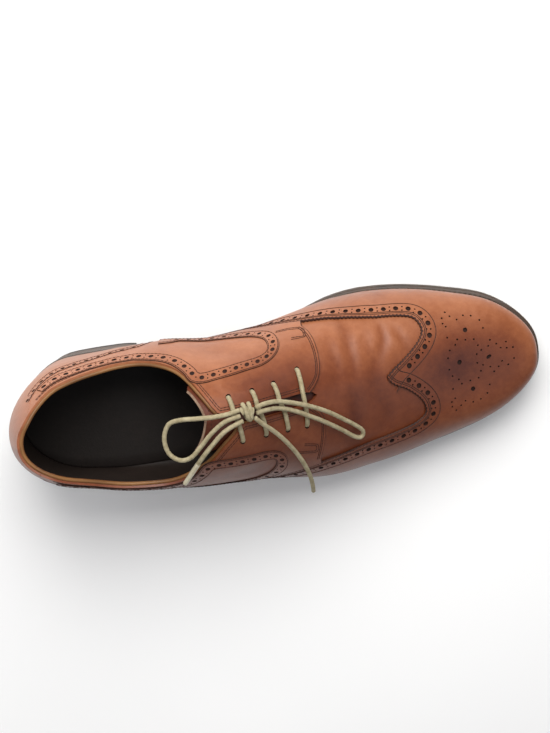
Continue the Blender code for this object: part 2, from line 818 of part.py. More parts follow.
def build_upper(paint):
    """The hollow upper, its overlays, bands and tongue."""
    both = (1, -1)
    names = {1: "medial", -1: "lateral"}
    eyes = {s: side_columns(EYELETS, s) for s in both}
    wide = {s: [ring(s, p, EYELET_BORE + 2 * GAP) for p in eyes[s]] for s in both}
    narrow = {s: [ring(s, p, EYELET_BORE) for p in eyes[s]] for s in both}
    shell("upper", {s: upper_border(s) for s in both}, wide, -WALL, 0.0, paint["leather"])
    low = GAP
    high = GAP + OVERLAY_THICK
    shell("wing_cap", {s: wing_border(s) for s in both}, {}, low, high, paint["leather"])
    shell("heel_counter", {s: counter_border(s) for s in both}, {}, low, high, paint["leather"])
    for s in both:
        shell(f"quarter_{names[s]}", {s: quarter_border(s)}, narrow, low, high, paint["leather"])
        band_low = high + GAP
        band_high = band_low + BAND_THICK
        shell(f"band_{names[s]}", {s: band_border(s)}, {}, band_low, band_high, paint["leather"])
    under = -WALL - TONGUE_EASE
    tongue = {s: tongue_border(s) for s in both}
    shell("tongue", tongue, {}, under - TONGUE_THICK, under, paint["leather"])


def build_lace(paint):
    """Bars between the eyelets, the knot, its loops and ends."""
    height = 3 * GAP + OVERLAY_THICK + LACE_THICK / 2
    for number, (am, tm, al, tl) in enumerate(EYELETS, 1):
        middle = (am + al) / 2
        places = [(1, am, tm), (1, (am + middle) / 2, (tm + 90) / 2), (1, middle, 90)]
        places += [(-1, (al + middle) / 2, (tl + 90) / 2), (-1, al, tl)]
        route = [tuple(on_last(s, [a], [t], height)[0]) for s, a, t in places]
        tube(f"lace_bar_{number}", route, LACE_THICK, paint["lace"])
    bpy.ops.mesh.primitive_uv_sphere_add(segments=12, ring_count=6, location=KNOT_AT)
    knot = bpy.context.object
    knot.name = "lace_knot"
    for vertex in knot.data.vertices:
        vertex.co = [c * size / 2 for c, size in zip(vertex.co, KNOT_SIZE)]
    knot.data.materials.append(paint["lace"])
    for holder in knot.users_collection:
        holder.objects.unlink(knot)
    SHOE.objects.link(knot)
    tube("lace_loop_1", LOOP_1, LACE_THICK, paint["lace"])
    tube("lace_loop_2", LOOP_2, LACE_THICK, paint["lace"])
    tube("lace_end_1", END_1, LACE_THICK, paint["lace"])
    tube("lace_end_2", END_2, LACE_THICK, paint["lace"])
    before, end = evenly(END_1, LACE_THICK / 2)[-2:]
    way = (end - before) / np.linalg.norm(end - before)
    start = end + GAP * way
    tube("lace_tip_1", [tuple(start), tuple(start + way * TIP_LENGTH)], TIP_THICK, paint["tip"])


def main():
    """Clears the scene and builds the shoe."""
    for obj in list(bpy.data.objects):
        bpy.data.objects.remove(obj)
    bpy.context.scene.collection.children.link(SHOE)
    paint = {
        "leather": material("tan_leather", (0.36, 0.17, 0.09), 0.42),
        "lining": material("dark_lining", (0.045, 0.035, 0.028), 0.7),
        "sole": material("dark_sole_edge", (0.07, 0.05, 0.04), 0.5),
        "stack": material("stacked_heel", (0.2, 0.16, 0.14), 0.55),
        "rubber": material("heel_rubber", (0.05, 0.045, 0.042), 0.7),
        "lace": material("beige_lace", (0.48, 0.44, 0.32), 0.85),
        "tip": material("clear_tip", (0.55, 0.5, 0.4), 0.2),
    }
    build_bottom(paint)
    build_upper(paint)
    build_lace(paint)


main()
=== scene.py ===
"""The dressed shoe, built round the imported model: leather panels with punched holes,
stitches, creases, lace and sole, a pale floor, soft light and the photo's camera.

A place on the last is (along, turn), as in the part's source: along is the share of one
side's outline from heel to toe, turn is -90 at the feather edge and 90 on the ridge.
"""

import json
import math

import bmesh
import bpy
import numpy as np
from mathutils import Matrix, Vector
from mathutils.geometry import delaunay_2d_cdt
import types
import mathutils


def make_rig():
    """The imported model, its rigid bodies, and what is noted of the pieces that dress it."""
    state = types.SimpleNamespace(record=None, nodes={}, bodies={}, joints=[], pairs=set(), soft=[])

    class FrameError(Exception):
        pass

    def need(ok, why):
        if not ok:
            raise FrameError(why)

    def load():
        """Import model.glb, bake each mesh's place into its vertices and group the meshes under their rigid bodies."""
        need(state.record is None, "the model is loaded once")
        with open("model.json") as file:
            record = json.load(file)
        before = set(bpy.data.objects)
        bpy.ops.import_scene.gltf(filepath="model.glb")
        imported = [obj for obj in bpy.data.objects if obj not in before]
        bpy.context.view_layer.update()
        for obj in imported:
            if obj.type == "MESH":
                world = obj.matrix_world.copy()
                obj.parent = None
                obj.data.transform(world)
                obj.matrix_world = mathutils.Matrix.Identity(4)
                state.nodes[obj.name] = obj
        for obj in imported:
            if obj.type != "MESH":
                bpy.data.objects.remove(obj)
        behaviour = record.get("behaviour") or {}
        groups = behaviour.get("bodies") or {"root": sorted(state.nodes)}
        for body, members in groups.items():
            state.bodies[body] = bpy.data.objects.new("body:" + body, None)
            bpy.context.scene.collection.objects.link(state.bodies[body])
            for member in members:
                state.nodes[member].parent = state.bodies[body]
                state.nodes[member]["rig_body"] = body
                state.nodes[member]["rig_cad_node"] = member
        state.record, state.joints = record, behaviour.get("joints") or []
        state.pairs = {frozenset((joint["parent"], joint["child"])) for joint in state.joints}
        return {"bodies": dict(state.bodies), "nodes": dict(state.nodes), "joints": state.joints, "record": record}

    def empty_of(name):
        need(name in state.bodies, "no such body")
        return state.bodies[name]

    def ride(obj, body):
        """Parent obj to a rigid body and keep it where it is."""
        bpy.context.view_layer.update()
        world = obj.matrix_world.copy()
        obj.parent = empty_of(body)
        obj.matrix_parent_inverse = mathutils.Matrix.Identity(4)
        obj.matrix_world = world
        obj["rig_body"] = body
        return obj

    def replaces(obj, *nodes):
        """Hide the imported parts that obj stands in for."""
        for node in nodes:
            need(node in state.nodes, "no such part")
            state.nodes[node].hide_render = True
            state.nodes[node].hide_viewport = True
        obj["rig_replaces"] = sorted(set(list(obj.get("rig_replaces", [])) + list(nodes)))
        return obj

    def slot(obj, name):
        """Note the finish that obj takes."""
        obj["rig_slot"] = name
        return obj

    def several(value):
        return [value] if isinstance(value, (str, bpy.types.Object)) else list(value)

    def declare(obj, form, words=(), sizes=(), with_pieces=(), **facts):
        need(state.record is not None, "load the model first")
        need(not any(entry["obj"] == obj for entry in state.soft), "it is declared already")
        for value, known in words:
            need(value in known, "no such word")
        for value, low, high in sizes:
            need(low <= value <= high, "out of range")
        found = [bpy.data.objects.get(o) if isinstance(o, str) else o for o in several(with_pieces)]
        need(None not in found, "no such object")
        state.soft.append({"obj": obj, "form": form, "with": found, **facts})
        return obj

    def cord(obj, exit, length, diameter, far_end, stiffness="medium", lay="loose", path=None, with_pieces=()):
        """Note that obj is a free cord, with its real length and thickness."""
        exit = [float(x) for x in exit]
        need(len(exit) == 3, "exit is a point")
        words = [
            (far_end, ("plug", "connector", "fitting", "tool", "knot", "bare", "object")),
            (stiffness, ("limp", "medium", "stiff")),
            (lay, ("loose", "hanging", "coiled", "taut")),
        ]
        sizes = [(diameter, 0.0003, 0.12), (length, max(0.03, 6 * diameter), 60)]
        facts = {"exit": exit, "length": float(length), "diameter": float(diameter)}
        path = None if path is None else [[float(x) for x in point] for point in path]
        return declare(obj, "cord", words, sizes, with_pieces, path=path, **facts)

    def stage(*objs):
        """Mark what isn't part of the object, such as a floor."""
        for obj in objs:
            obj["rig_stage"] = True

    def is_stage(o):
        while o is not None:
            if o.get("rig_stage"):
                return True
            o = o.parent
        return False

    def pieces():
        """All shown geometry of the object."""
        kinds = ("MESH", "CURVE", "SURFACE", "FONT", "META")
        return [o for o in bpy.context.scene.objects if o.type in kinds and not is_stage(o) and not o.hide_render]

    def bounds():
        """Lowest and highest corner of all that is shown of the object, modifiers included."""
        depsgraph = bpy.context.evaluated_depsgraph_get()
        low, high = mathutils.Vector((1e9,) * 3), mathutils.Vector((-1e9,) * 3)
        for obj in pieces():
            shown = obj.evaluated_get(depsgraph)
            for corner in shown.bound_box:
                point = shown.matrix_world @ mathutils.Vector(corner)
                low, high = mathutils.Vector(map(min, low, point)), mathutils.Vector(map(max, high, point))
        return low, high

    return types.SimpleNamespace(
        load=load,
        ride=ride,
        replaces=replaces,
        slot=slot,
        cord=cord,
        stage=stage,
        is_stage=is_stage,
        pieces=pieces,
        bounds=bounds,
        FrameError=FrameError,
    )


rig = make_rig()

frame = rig.load()
cad_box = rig.bounds()

# Driving sizes
SHOE_LENGTH = 0.312
BALL_WIDTH = 0.104
TOP_HEIGHT = 0.098
HEEL_HEIGHT = 0.027
HEEL_LENGTH = 0.073
TOP_LIFT_THICK = 0.006
HEEL_TAPER = 0.0014
SOLE_THICK = 0.0048
SOLE_ROUND = 0.0008
WELT_THICK = 0.0024
WELT_WIDTH = 0.0045
WELT_UNDER = 0.0036
WALL = 0.002
OVERLAY_THICK = 0.0012
BAND_WIDTH = 0.0054
TONGUE_THICK = 0.0018
TONGUE_EASE = 0.0005
INSOLE_THICK = 0.002
FACING_GAP = 0.0072
EYELET_BORE = 0.003
LACE_THICK = 0.0025
TIP_THICK = 0.0028
TIP_LENGTH = 0.016
GAP = 0.0003

# Half widths of the outsole, as shares of BALL_WIDTH, before its round ends are taken off
OUTLINE = [
    # along  medial  lateral
    (0.00, 0.280, 0.268),
    (0.10, 0.350, 0.310),
    (0.20, 0.361, 0.345),
    (0.30, 0.312, 0.350),
    (0.38, 0.278, 0.364),
    (0.46, 0.300, 0.394),
    (0.54, 0.382, 0.447),
    (0.62, 0.460, 0.497),
    (0.68, 0.480, 0.509),
    (0.74, 0.470, 0.497),
    (0.80, 0.442, 0.460),
    (0.86, 0.401, 0.405),
    (0.92, 0.360, 0.344),
    (1.00, 0.278, 0.257),
]
# Length and roundness of the outsole's ends: 2 is an ellipse, more is squarer
HEEL_ROUND, HEEL_POWER = 0.036, 2.1
TOE_ROUND, TOE_POWER = 0.046, 2.5

# How the upper stands on the outsole: welt in shares of WELT_WIDTH, bulge over the
# feather edge in shares of BALL_WIDTH, height of the widest place in shares of
# TOP_HEIGHT, and the roundness of the section across and upwards
FORM = [
    # along welt_m welt_l bulge_m bulge_l widest across upward
    (0.00, 0.35, 0.35, 0.000, 0.000, 0.220, 1.35, 1.65),
    (0.15, 0.38, 0.35, 0.006, 0.010, 0.220, 1.55, 1.76),
    (0.22, 0.38, 0.40, 0.028, 0.042, 0.220, 1.60, 1.81),
    (0.30, 0.30, 0.45, 0.074, 0.078, 0.220, 1.60, 1.85),
    (0.42, 0.25, 0.60, 0.080, 0.095, 0.200, 1.65, 1.94),
    (0.54, 0.60, 0.85, 0.042, 0.109, 0.150, 1.75, 2.02),
    (0.66, 0.95, 0.95, 0.013, 0.037, 0.110, 1.87, 2.04),
    (0.80, 1.00, 1.00, 0.012, -0.010, 0.100, 2.05, 2.13),
    (0.92, 1.15, 1.10, 0.010, 0.000, 0.095, 2.27, 2.29),
    (1.00, 1.30, 1.30, 0.010, 0.010, 0.090, 2.38, 2.40),
]
# Underside of the outsole in shares of HEEL_HEIGHT, ridge of the closed last in shares
# of TOP_HEIGHT, and how far the ridge leans to the medial side in shares of BALL_WIDTH
PROFILE = [
    # along bottom ridge spine
    (0.00, 1.000, 1.325, 0.007),
    (0.10, 0.990, 1.290, 0.010),
    (0.22, 0.940, 1.222, 0.010),
    (0.30, 0.800, 1.145, 0.008),
    (0.36, 0.620, 1.073, 0.003),
    (0.42, 0.420, 1.000, -0.002),
    (0.50, 0.200, 0.869, 0.007),
    (0.58, 0.045, 0.732, 0.020),
    (0.64, 0.000, 0.643, 0.025),
    (0.72, 0.000, 0.546, 0.026),
    (0.80, 0.050, 0.468, 0.025),
    (0.88, 0.160, 0.402, 0.020),
    (0.94, 0.270, 0.363, 0.014),
    (1.00, 0.390, 0.333, 0.006),
]
# Where the ridge starts and ends, as shares of SHOE_LENGTH
RIDGE_BACK, RIDGE_FRONT, RIDGE_BLEND = 0.10, 0.905, 0.14

# The collar's edge as turns, and where the gap between the facings ends
COLLAR = [
    # along medial lateral
    (0.00, 42.0, 42.0),
    (0.05, 42.0, 42.0),
    (0.10, 38.0, 41.5),
    (0.15, 31.5, 37.5),
    (0.20, 26.0, 32.0),
    (0.25, 25.0, 30.0),
    (0.30, 30.5, 33.5),
    (0.34, 43.0, 45.0),
    (0.37, 64.0, 56.0),
    (0.39, 81.0, 66.0),
    (0.415, 95.0, 78.0),
    (0.43, 100.0, 88.0),
]
THROAT = 0.550
THROAT_ROUND = 0.030
LOWEST_TURN = -60.0

# Edge of the wing cap, from the tail at the waist to the point on the ridge
WING_EDGE = [
    # along_m turn_m along_l turn_l
    (0.366, -60.0, 0.366, -60.0),
    (0.378, -34.0, 0.378, -34.0),
    (0.398, -16.0, 0.398, -8.0),
    (0.430, -4.0, 0.430, 12.0),
    (0.478, 6.0, 0.478, 26.0),
    (0.537, 20.5, 0.532, 38.0),
    (0.595, 31.5, 0.590, 44.5),
    (0.655, 40.0, 0.640, 47.5),
    (0.700, 42.5, 0.680, 49.5),
    (0.726, 46.0, 0.708, 52.0),
    (0.737, 56.0, 0.725, 57.0),
    (0.733, 64.0, 0.727, 64.0),
    (0.718, 72.0, 0.718, 72.0),
    (0.695, 80.0, 0.697, 80.0),
    (0.678, 85.0, 0.675, 85.0),
    (0.665, 90.0, 0.665, 90.0),
]
# Front edge of the quarters, from the facing down to the wing cap
QUARTER_FRONT = [
    # along_m turn_m along_l turn_l
    (0.536, 84.5, 0.536, 84.0),
    (0.546, 80.0, 0.550, 77.5),
    (0.555, 73.0, 0.555, 71.0),
    (0.559, 62.0, 0.553, 63.0),
    (0.557, 48.0, 0.549, 55.0),
    (0.551, 37.0, 0.545, 49.0),
    (0.542, 28.5, 0.542, 44.5),
]
# Edge of the heel counter, from its lower front corner to the collar
COUNTER_EDGE = [
    # along turn
    (0.300, -60.0),
    (0.296, -20.0),
    (0.286, 2.0),
    (0.255, 8.0),
    (0.205, 12.0),
    (0.160, 17.5),
    (0.120, 24.5),
    (0.095, 31.0),
]
COUNTER_END = 0.080
# Middle of the brogued band on a quarter, from the counter round to the collar
BAND_LINE = [
    # along_m turn_m along_l turn_l
    (0.306, -1.5, 0.306, 3.0),
    (0.350, 1.5, 0.350, 9.0),
    (0.392, 6.5, 0.392, 15.5),
    (0.437, 13.0, 0.434, 24.0),
    (0.466, 17.5, 0.461, 32.0),
    (0.486, 25.0, 0.475, 40.0),
    (0.493, 34.0, 0.479, 46.5),
    (0.489, 42.0, 0.474, 52.0),
    (0.471, 46.5, 0.458, 54.0),
    (0.440, 47.5, 0.430, 53.0),
    (0.400, 48.5, 0.398, 52.0),
    (0.363, 49.0, 0.364, 51.5),
    (0.352, 42.5, 0.351, 45.0),
    (0.337, 35.0, 0.336, 37.5),
    (0.320, 29.5, 0.320, 32.0),
    (0.298, 25.5, 0.298, 28.5),
    (0.270, 21.5, 0.272, 25.0),
]
# The band's tail under the collar: along, and how many turns below the collar's edge
BAND_TAIL = [(0.240, 4.2), (0.20, 5.4), (0.155, 6.2), (0.118, 6.0)]
# Bar tacks: rows of stitches on the front of each quarter
TACKS = [
    # along_m turn_m along_l turn_l
    (0.501, 23.5, 0.508, 52.0),
    (0.522, 25.8, 0.522, 51.5),
    (0.540, 29.5, 0.536, 51.0),
    (0.5455, 33.0, 0.540, 53.0),
    (0.546, 40.5, 0.540, 57.0),
    (0.534, 39.5, 0.530, 58.3),
    (0.522, 38.0, 0.518, 59.0),
]
# Sides of the tongue, from its top to where it meets the vamp
TONGUE_SIDES = [
    # along medial lateral
    (0.349, 54.0, 62.0),
    (0.354, 50.0, 58.0),
    (0.400, 60.0, 64.0),
    (0.480, 66.0, 68.0),
    (0.600, 72.0, 72.0),
]
# Eyelets, from the throat to the top
EYELETS = [
    # along_m turn_m along_l turn_l
    (0.522, 63.0, 0.525, 71.0),
    (0.482, 67.5, 0.494, 71.0),
    (0.446, 68.0, 0.458, 70.5),
    (0.408, 68.0, 0.420, 69.0),
]

# The lace from the knot on, in metres
KNOT_AT = (0.0987, 0.0034, 0.1048)
# The knot's core and its two wraps, from KNOT_AT
KNOT_CORE = [
    (-0.0030, 0.0006, 0.0004),
    (-0.0012, 0.0012, 0.0006),
    (0.0008, 0.0004, 0.0004),
    (0.0030, -0.0004, 0.0),
]
KNOT_WRAPS = [
    [
        (-0.0016, 0.0020, -0.0028),
        (-0.0022, 0.0044, -0.0008),
        (-0.0014, 0.0036, 0.0018),
        (-0.0006, 0.0002, 0.0026),
        (0.0002, -0.0034, 0.0014),
        (0.0010, -0.0044, -0.0010),
        (0.0008, -0.0024, -0.0028),
    ],
    [
        (0.0012, 0.0022, -0.0028),
        (0.0010, 0.0044, -0.0010),
        (0.0014, 0.0034, 0.0014),
        (0.0018, 0.0002, 0.0020),
        (0.0016, -0.0032, 0.0008),
        (0.0000, -0.0042, -0.0012),
        (-0.0014, -0.0022, -0.0028),
    ],
]
LOOP_1 = [
    (0.0944, 0.0053, 0.1062),
    (0.0890, 0.0044, 0.1077),
    (0.0810, 0.0040, 0.1087),
    (0.0720, 0.0044, 0.1085),
    (0.0635, 0.0046, 0.1070),
    (0.0570, 0.0032, 0.1052),
    (0.0535, -0.0020, 0.1035),
    (0.0527, -0.0085, 0.1020),
    (0.0545, -0.0145, 0.1010),
    (0.0595, -0.0182, 0.1010),
    (0.0655, -0.0172, 0.1022),
    (0.0715, -0.0118, 0.1042),
    (0.0780, -0.0052, 0.1062),
    (0.0860, 0.0004, 0.1076),
    (0.0946, 0.0022, 0.1063),
]
END_1 = [
    (0.0957, -0.0008, 0.1054),
    (0.0885, -0.0034, 0.1062),
    (0.0835, -0.0064, 0.1056),
    (0.0770, -0.0125, 0.1035),
    (0.0715, -0.0182, 0.1012),
    (0.0680, -0.0225, 0.0985),
]
LOOP_2 = [
    (0.1034, 0.0051, 0.1050),
    (0.1080, 0.0060, 0.1022),
    (0.1150, 0.0054, 0.0972),
    (0.1240, 0.0022, 0.0918),
    (0.1330, -0.0020, 0.0864),
    (0.1420, -0.0076, 0.0796),
    (0.1500, -0.0140, 0.0730),
    (0.1570, -0.0200, 0.0670),
    (0.1610, -0.0246, 0.0632),
    (0.1600, -0.0282, 0.0618),
    (0.1560, -0.0270, 0.0644),
    (0.1490, -0.0208, 0.0704),
    (0.1400, -0.0134, 0.0784),
    (0.1315, -0.0074, 0.0848),
    (0.1230, -0.0020, 0.0906),
    (0.1150, 0.0014, 0.0958),
    (0.1085, 0.0024, 0.1012),
    (0.1036, 0.0022, 0.1048),
]
END_2 = [
    (0.1022, -0.0002, 0.1047),
    (0.1060, -0.0050, 0.1015),
    (0.1110, -0.0105, 0.0965),
    (0.1165, -0.0180, 0.0905),
    (0.1215, -0.0270, 0.0825),
    (0.1255, -0.0365, 0.0745),
    (0.1280, -0.0460, 0.0650),
    (0.1290, -0.0545, 0.0550),
    (0.1292, -0.0600, 0.0450),
]

# The photo's camera: its place, its turn, its focal length in pixels and the film
CAMERA_AT = (0.1464, 0.1321, 0.7659)
CAMERA_TURN = (0.1588, -0.0210, -0.1399)
FOCAL_PIXELS = 1270.63
PHOTO_HEIGHT = 733
FILM_WIDTH = 36.0
# Lamps: name, place, target, width, power and colour
LAMPS = [
    ("key", (0.16, 0.62, 0.78), (0.11, 0.0, 0.05), 0.75, 12.5, (1.0, 0.985, 0.96)),
    ("fill", (0.65, -0.30, 0.85), (0.12, 0.0, 0.04), 0.9, 2.0, (0.98, 0.985, 1.0)),
    ("rear", (-0.65, 0.25, 0.70), (0.05, 0.0, 0.05), 0.8, 3.0, (1.0, 1.0, 1.0)),
]

# The fine net of the leather panels: its steps, and how many turns one along counts for
STEP_ALONG = 1 / 170
STEP_TURN = 3.4
NET_SCALE = 400.0
# Turn at which the overlays tuck under the upper, and the height of their outside
SKIN_LOW = -80.0
HIGH = GAP + OVERLAY_THICK
# Seams: pitch of the stitches, their share of it, thread and the groove's spacing
STITCH_PITCH = 0.0021
STITCH_SHARE = 0.72
THREAD_THICK = 0.0005
GROOVE_STEP = 0.0015
# Dark lines sit this far below the outside on cut edges
EDGE_DROP = 0.0006
BIG_CORNERS = 12
SMALL_CORNERS = 8
EYELET_CORNERS = 14
RIM_END = 0.47
# Just short of the ridge, where a line stops
RIDGE_TURN = 89.9
SPECULAR = 0.30
# Spacing of a cord's rings
CORD_STEP = 0.00045
# Points closer than this are one
SAME_POINT = 2e-6


def smooth_table(rows, column, at):
    """A smooth curve through one column of a table, flat at its own peaks."""
    x = np.array([row[0] for row in rows])
    y = np.array([row[column] for row in rows])
    step = np.diff(x)
    rise = np.diff(y) / step
    slope = np.empty(len(x))
    slope[0] = rise[0]
    slope[-1] = rise[-1]
    middle = (rise[:-1] * step[1:] + rise[1:] * step[:-1]) / (step[1:] + step[:-1])
    most = 3 * np.minimum(np.abs(rise[:-1]), np.abs(rise[1:]))
    kept = np.sign(middle) * np.minimum(np.abs(middle), most)
    slope[1:-1] = np.where(rise[:-1] * rise[1:] <= 0, 0, kept)
    at = np.clip(np.asarray(at, float), x[0], x[-1])
    i = np.clip(np.searchsorted(x, at, side="right") - 1, 0, len(x) - 2)
    s = (at - x[i]) / step[i]
    start = (2 * s**3 - 3 * s**2 + 1) * y[i] + (s**3 - 2 * s**2 + s) * step[i] * slope[i]
    end = (3 * s**2 - 2 * s**3) * y[i + 1] + (s**3 - s**2) * step[i] * slope[i + 1]
    return start + end


def round_end(distance, length, power):
    """Share of the full width at a distance from a round end."""
    u = np.clip(distance / length, 0, 1)
    return (1 - (1 - u) ** power) ** (1 / power)


def lower_of(a, b, blend):
    """The smaller of two values, blended smoothly where they cross."""
    h = np.clip(0.5 + 0.5 * (b - a) / blend, 0, 1)
    return b * (1 - h) + a * h - blend * h * (1 - h)


def dense_outline(side):
    """The outsole's edge on one side as close points, with their lengths from the heel."""
    t = np.linspace(0, 1, 3001)
    once = 0.5 - 0.5 * np.cos(np.pi * t)
    x = SHOE_LENGTH * (0.5 - 0.5 * np.cos(np.pi * once))
    width = BALL_WIDTH * smooth_table(OUTLINE, 1 if side > 0 else 2, x / SHOE_LENGTH)
    width = width * round_end(x, HEEL_ROUND, HEEL_POWER)
    width = width * round_end(SHOE_LENGTH - x, TOE_ROUND, TOE_POWER)
    steps = np.hypot(np.diff(x), np.diff(width))
    return x, side * width, np.concatenate([[0.0], np.cumsum(steps)])


DENSE = {side: dense_outline(side) for side in (1, -1)}


def edge_point(side, length):
    """Point of the outsole's edge, which runs on round both ends."""
    x, y, lengths = DENSE[side]
    past = (length > lengths[-1]) | (length < 0)
    folded = np.where(length > lengths[-1], 2 * lengths[-1] - length, np.abs(length))
    across = np.interp(folded, lengths, y) * np.where(past, -1.0, 1.0)
    return np.stack([np.interp(folded, lengths, x), across], 1)


def outline(side, along):
    """Edge points and outward normals at shares of the side's length."""
    reach = np.asarray(along, float) * DENSE[side][2][-1]
    near = SHOE_LENGTH / 300
    way = edge_point(side, reach + near) - edge_point(side, reach - near)
    way /= np.linalg.norm(way, axis=1)[:, None]
    return edge_point(side, reach), np.stack([-way[:, 1], way[:, 0]], 1) * side


def bottom(x):
    """Height of the outsole's underside over the floor."""
    return HEEL_HEIGHT * smooth_table(PROFILE, 1, x / SHOE_LENGTH)


def feather_height(x):
    """Height at which the upper stands on the welt."""
    return bottom(x) + SOLE_THICK + WELT_THICK + 2 * GAP


def feather(side, along, inset=0.0):
    """Feather edge of the last, moved inwards by an inset."""
    edge, normal = outline(side, along)
    share = edge[:, 0] / SHOE_LENGTH
    welt = WELT_WIDTH * smooth_table(FORM, 1 if side > 0 else 2, share)
    return edge - normal * (welt + inset)[:, None], normal, share


def widest(side, along):
    """Widest points of the sections."""
    edge, normal, share = feather(side, along)
    bulge = BALL_WIDTH * smooth_table(FORM, 3 if side > 0 else 4, share)
    return edge + normal * bulge[:, None]


def ridge_point(along):
    """Plan points of the ridge where the two sides' sections meet."""
    x = (widest(1, along)[:, 0] + widest(-1, along)[:, 0]) / 2
    blend = RIDGE_BLEND * SHOE_LENGTH
    x = -lower_of(-x, np.full(len(x), -RIDGE_BACK * SHOE_LENGTH), blend)
    x = lower_of(x, np.full(len(x), RIDGE_FRONT * SHOE_LENGTH), blend)
    return np.stack([x, BALL_WIDTH * smooth_table(PROFILE, 3, x / SHOE_LENGTH)], 1)


def section_points(side, along, turn):
    """Points of the closed last on one side, x from the heel's back."""
    low, _, share = feather(side, along)
    wide = widest(side, along)
    top = ridge_point(along)
    across = smooth_table(FORM, 6, share)
    upward = smooth_table(FORM, 7, share)
    low_z = feather_height(low[:, 0])
    wide_z = low_z + TOP_HEIGHT * smooth_table(FORM, 5, share)
    angle = np.radians(turn)
    cosine = np.clip(np.cos(angle), 0, 1)
    sine = np.sin(angle)
    above = (angle >= 0)[:, None]
    over = top + (wide - top) * (cosine ** (2 / across))[:, None]
    under = low + (wide - low) * cosine[:, None]
    plan = np.where(above, over, under)
    ridge = TOP_HEIGHT * smooth_table(PROFILE, 2, plan[:, 0] / SHOE_LENGTH)
    rise = wide_z + (ridge - wide_z) * np.abs(sine) ** (2 / upward)
    drop = wide_z + (wide_z - low_z) * sine
    return np.column_stack([plan, np.where(angle >= 0, rise, drop)])


def last_points(side, along, turn):
    """Points of the closed last, running on over the ridge and round both ends."""
    side = np.where(turn > 90, -side, side)
    turn = np.where(turn > 90, 180 - turn, turn)
    side = np.where((along > 1) | (along < 0), -side, side)
    along = np.where(along > 1, 2 - along, np.abs(along))
    medial = section_points(1, along, turn)
    lateral = section_points(-1, along, turn)
    return np.where((side > 0)[:, None], medial, lateral)


def on_last(side, along, turn, height):
    """Points at a height over the last, in the part's own frame."""
    along = np.asarray(along, float)
    turn = np.asarray(turn, float)
    side = np.broadcast_to(np.asarray(side, float), along.shape)
    near = 0.006
    lean = 2.5
    apart = np.clip(along, 2 * near, 1 - 2 * near)
    at = np.where(np.abs(turn - 90) < lean, apart, along)
    tilt = np.clip(turn, LOWEST_TURN, 180 - LOWEST_TURN)
    forward = last_points(side, at + near, tilt) - last_points(side, at - near, tilt)
    upward = last_points(side, at, tilt + lean) - last_points(side, at, tilt - lean)
    normal = np.cross(upward, forward) * side[:, None]
    normal /= np.linalg.norm(normal, axis=1)[:, None]
    points = last_points(side, along, turn) + normal * height
    points[:, 0] -= HEEL_LENGTH / 2
    return points


def side_columns(rows, side):
    """The (along, turn) pairs of one side from a table that holds both."""
    if side > 0:
        return [(row[0], row[1]) for row in rows]
    return [(row[2], row[3]) for row in rows]


def spline(line, parts):
    """A rounder line through the given places."""
    result = []
    for i in range(len(line) - 1):
        a, b, c, d = (np.array(line[min(max(i + j, 0), len(line) - 1)]) for j in (-1, 0, 1, 2))
        for step in range(parts):
            s = step / parts
            cubic = 2 * a - 5 * b + 4 * c - d + s * (3 * (b - c) + d - a)
            curve = b + 0.5 * s * (c - a + s * cubic)
            result.append(tuple(float(v) for v in curve))
    result.append(tuple(float(v) for v in line[-1]))
    return result


def facing_turn(side, along):
    """Turn of the facing's edge, half the gap away from the ridge."""
    share = min(max((THROAT - along) / THROAT_ROUND, 0.0), 1.0)
    half = FACING_GAP / 2 * math.sqrt(1 - (1 - share) ** 2)
    at = np.array([along])
    reach = np.linalg.norm(widest(side, at)[0] - ridge_point(at)[0])
    across = smooth_table(FORM, 6, feather(side, at)[2])[0]
    return math.degrees(math.acos((half / reach) ** (across / 2)))


def collar_turn(side, along):
    """Turn of the opening's edge, at the collar and along the facing."""
    collar = float(smooth_table(COLLAR, 1 if side > 0 else 2, along))
    if along > COLLAR[-1][0]:
        return facing_turn(side, along)
    return min(collar, facing_turn(side, along))


def opening_line(side, start, end, parts):
    """The opening's edge between two stations."""
    return [(a, collar_turn(side, a)) for a in np.linspace(start, end, parts + 1)]


def area(loop):
    """Signed area inside a loop of places."""
    pairs = zip(loop, loop[1:] + loop[:1])
    return sum(a[0] * b[1] - b[0] * a[1] for a, b in pairs) / 2


def plan_chain(side, along, chain):
    """Points of one side's chain at each station. A row is (start, inset, base, height): the
    inset is from the edge or the feather edge, the height over the sole's underside or the
    floor, or for mix the share of the way from the top lift to the underside."""
    result = []
    for start, inset, base, height in chain:
        if start == "edge":
            edge, normal = outline(side, along)
            plan = edge - normal * inset
        else:
            plan = feather(side, along, inset)[0]
        under = bottom(plan[:, 0])
        if base == "mix":
            level = TOP_LIFT_THICK + (under - TOP_LIFT_THICK) * height
        else:
            level = height + (under if base == "sole" else 0.0 * under)
        result.append(np.column_stack([plan[:, 0] - HEEL_LENGTH / 2, plan[:, 1], level]))
    return np.stack(result, 1)


def along_at(side, x):
    """Share of a side's outline at a distance from the heel's back."""
    points, _, lengths = DENSE[side]
    return float(np.interp(x, points, lengths) / lengths[-1])


def evenly(route, spacing):
    """Points at an even spacing along the smooth curve through a route."""
    fine = np.array(spline(route, 12))
    steps = np.linalg.norm(np.diff(fine, axis=0), axis=1)
    lengths = np.concatenate([[0.0], np.cumsum(steps)])
    at = np.linspace(0, lengths[-1], max(round(lengths[-1] / spacing), 1) + 1)
    return np.stack([np.interp(at, lengths, fine[:, i]) for i in range(3)], 1)


def unit(ways):
    """Each row at a length of one."""
    return ways / np.linalg.norm(ways, axis=1)[:, None]


def circle(corners, shift=0.0):
    """Cosine and sine of each corner of a ring."""
    angles = [math.tau * (c + shift) / corners for c in range(corners)]
    return [(math.cos(g), math.sin(g)) for g in angles]


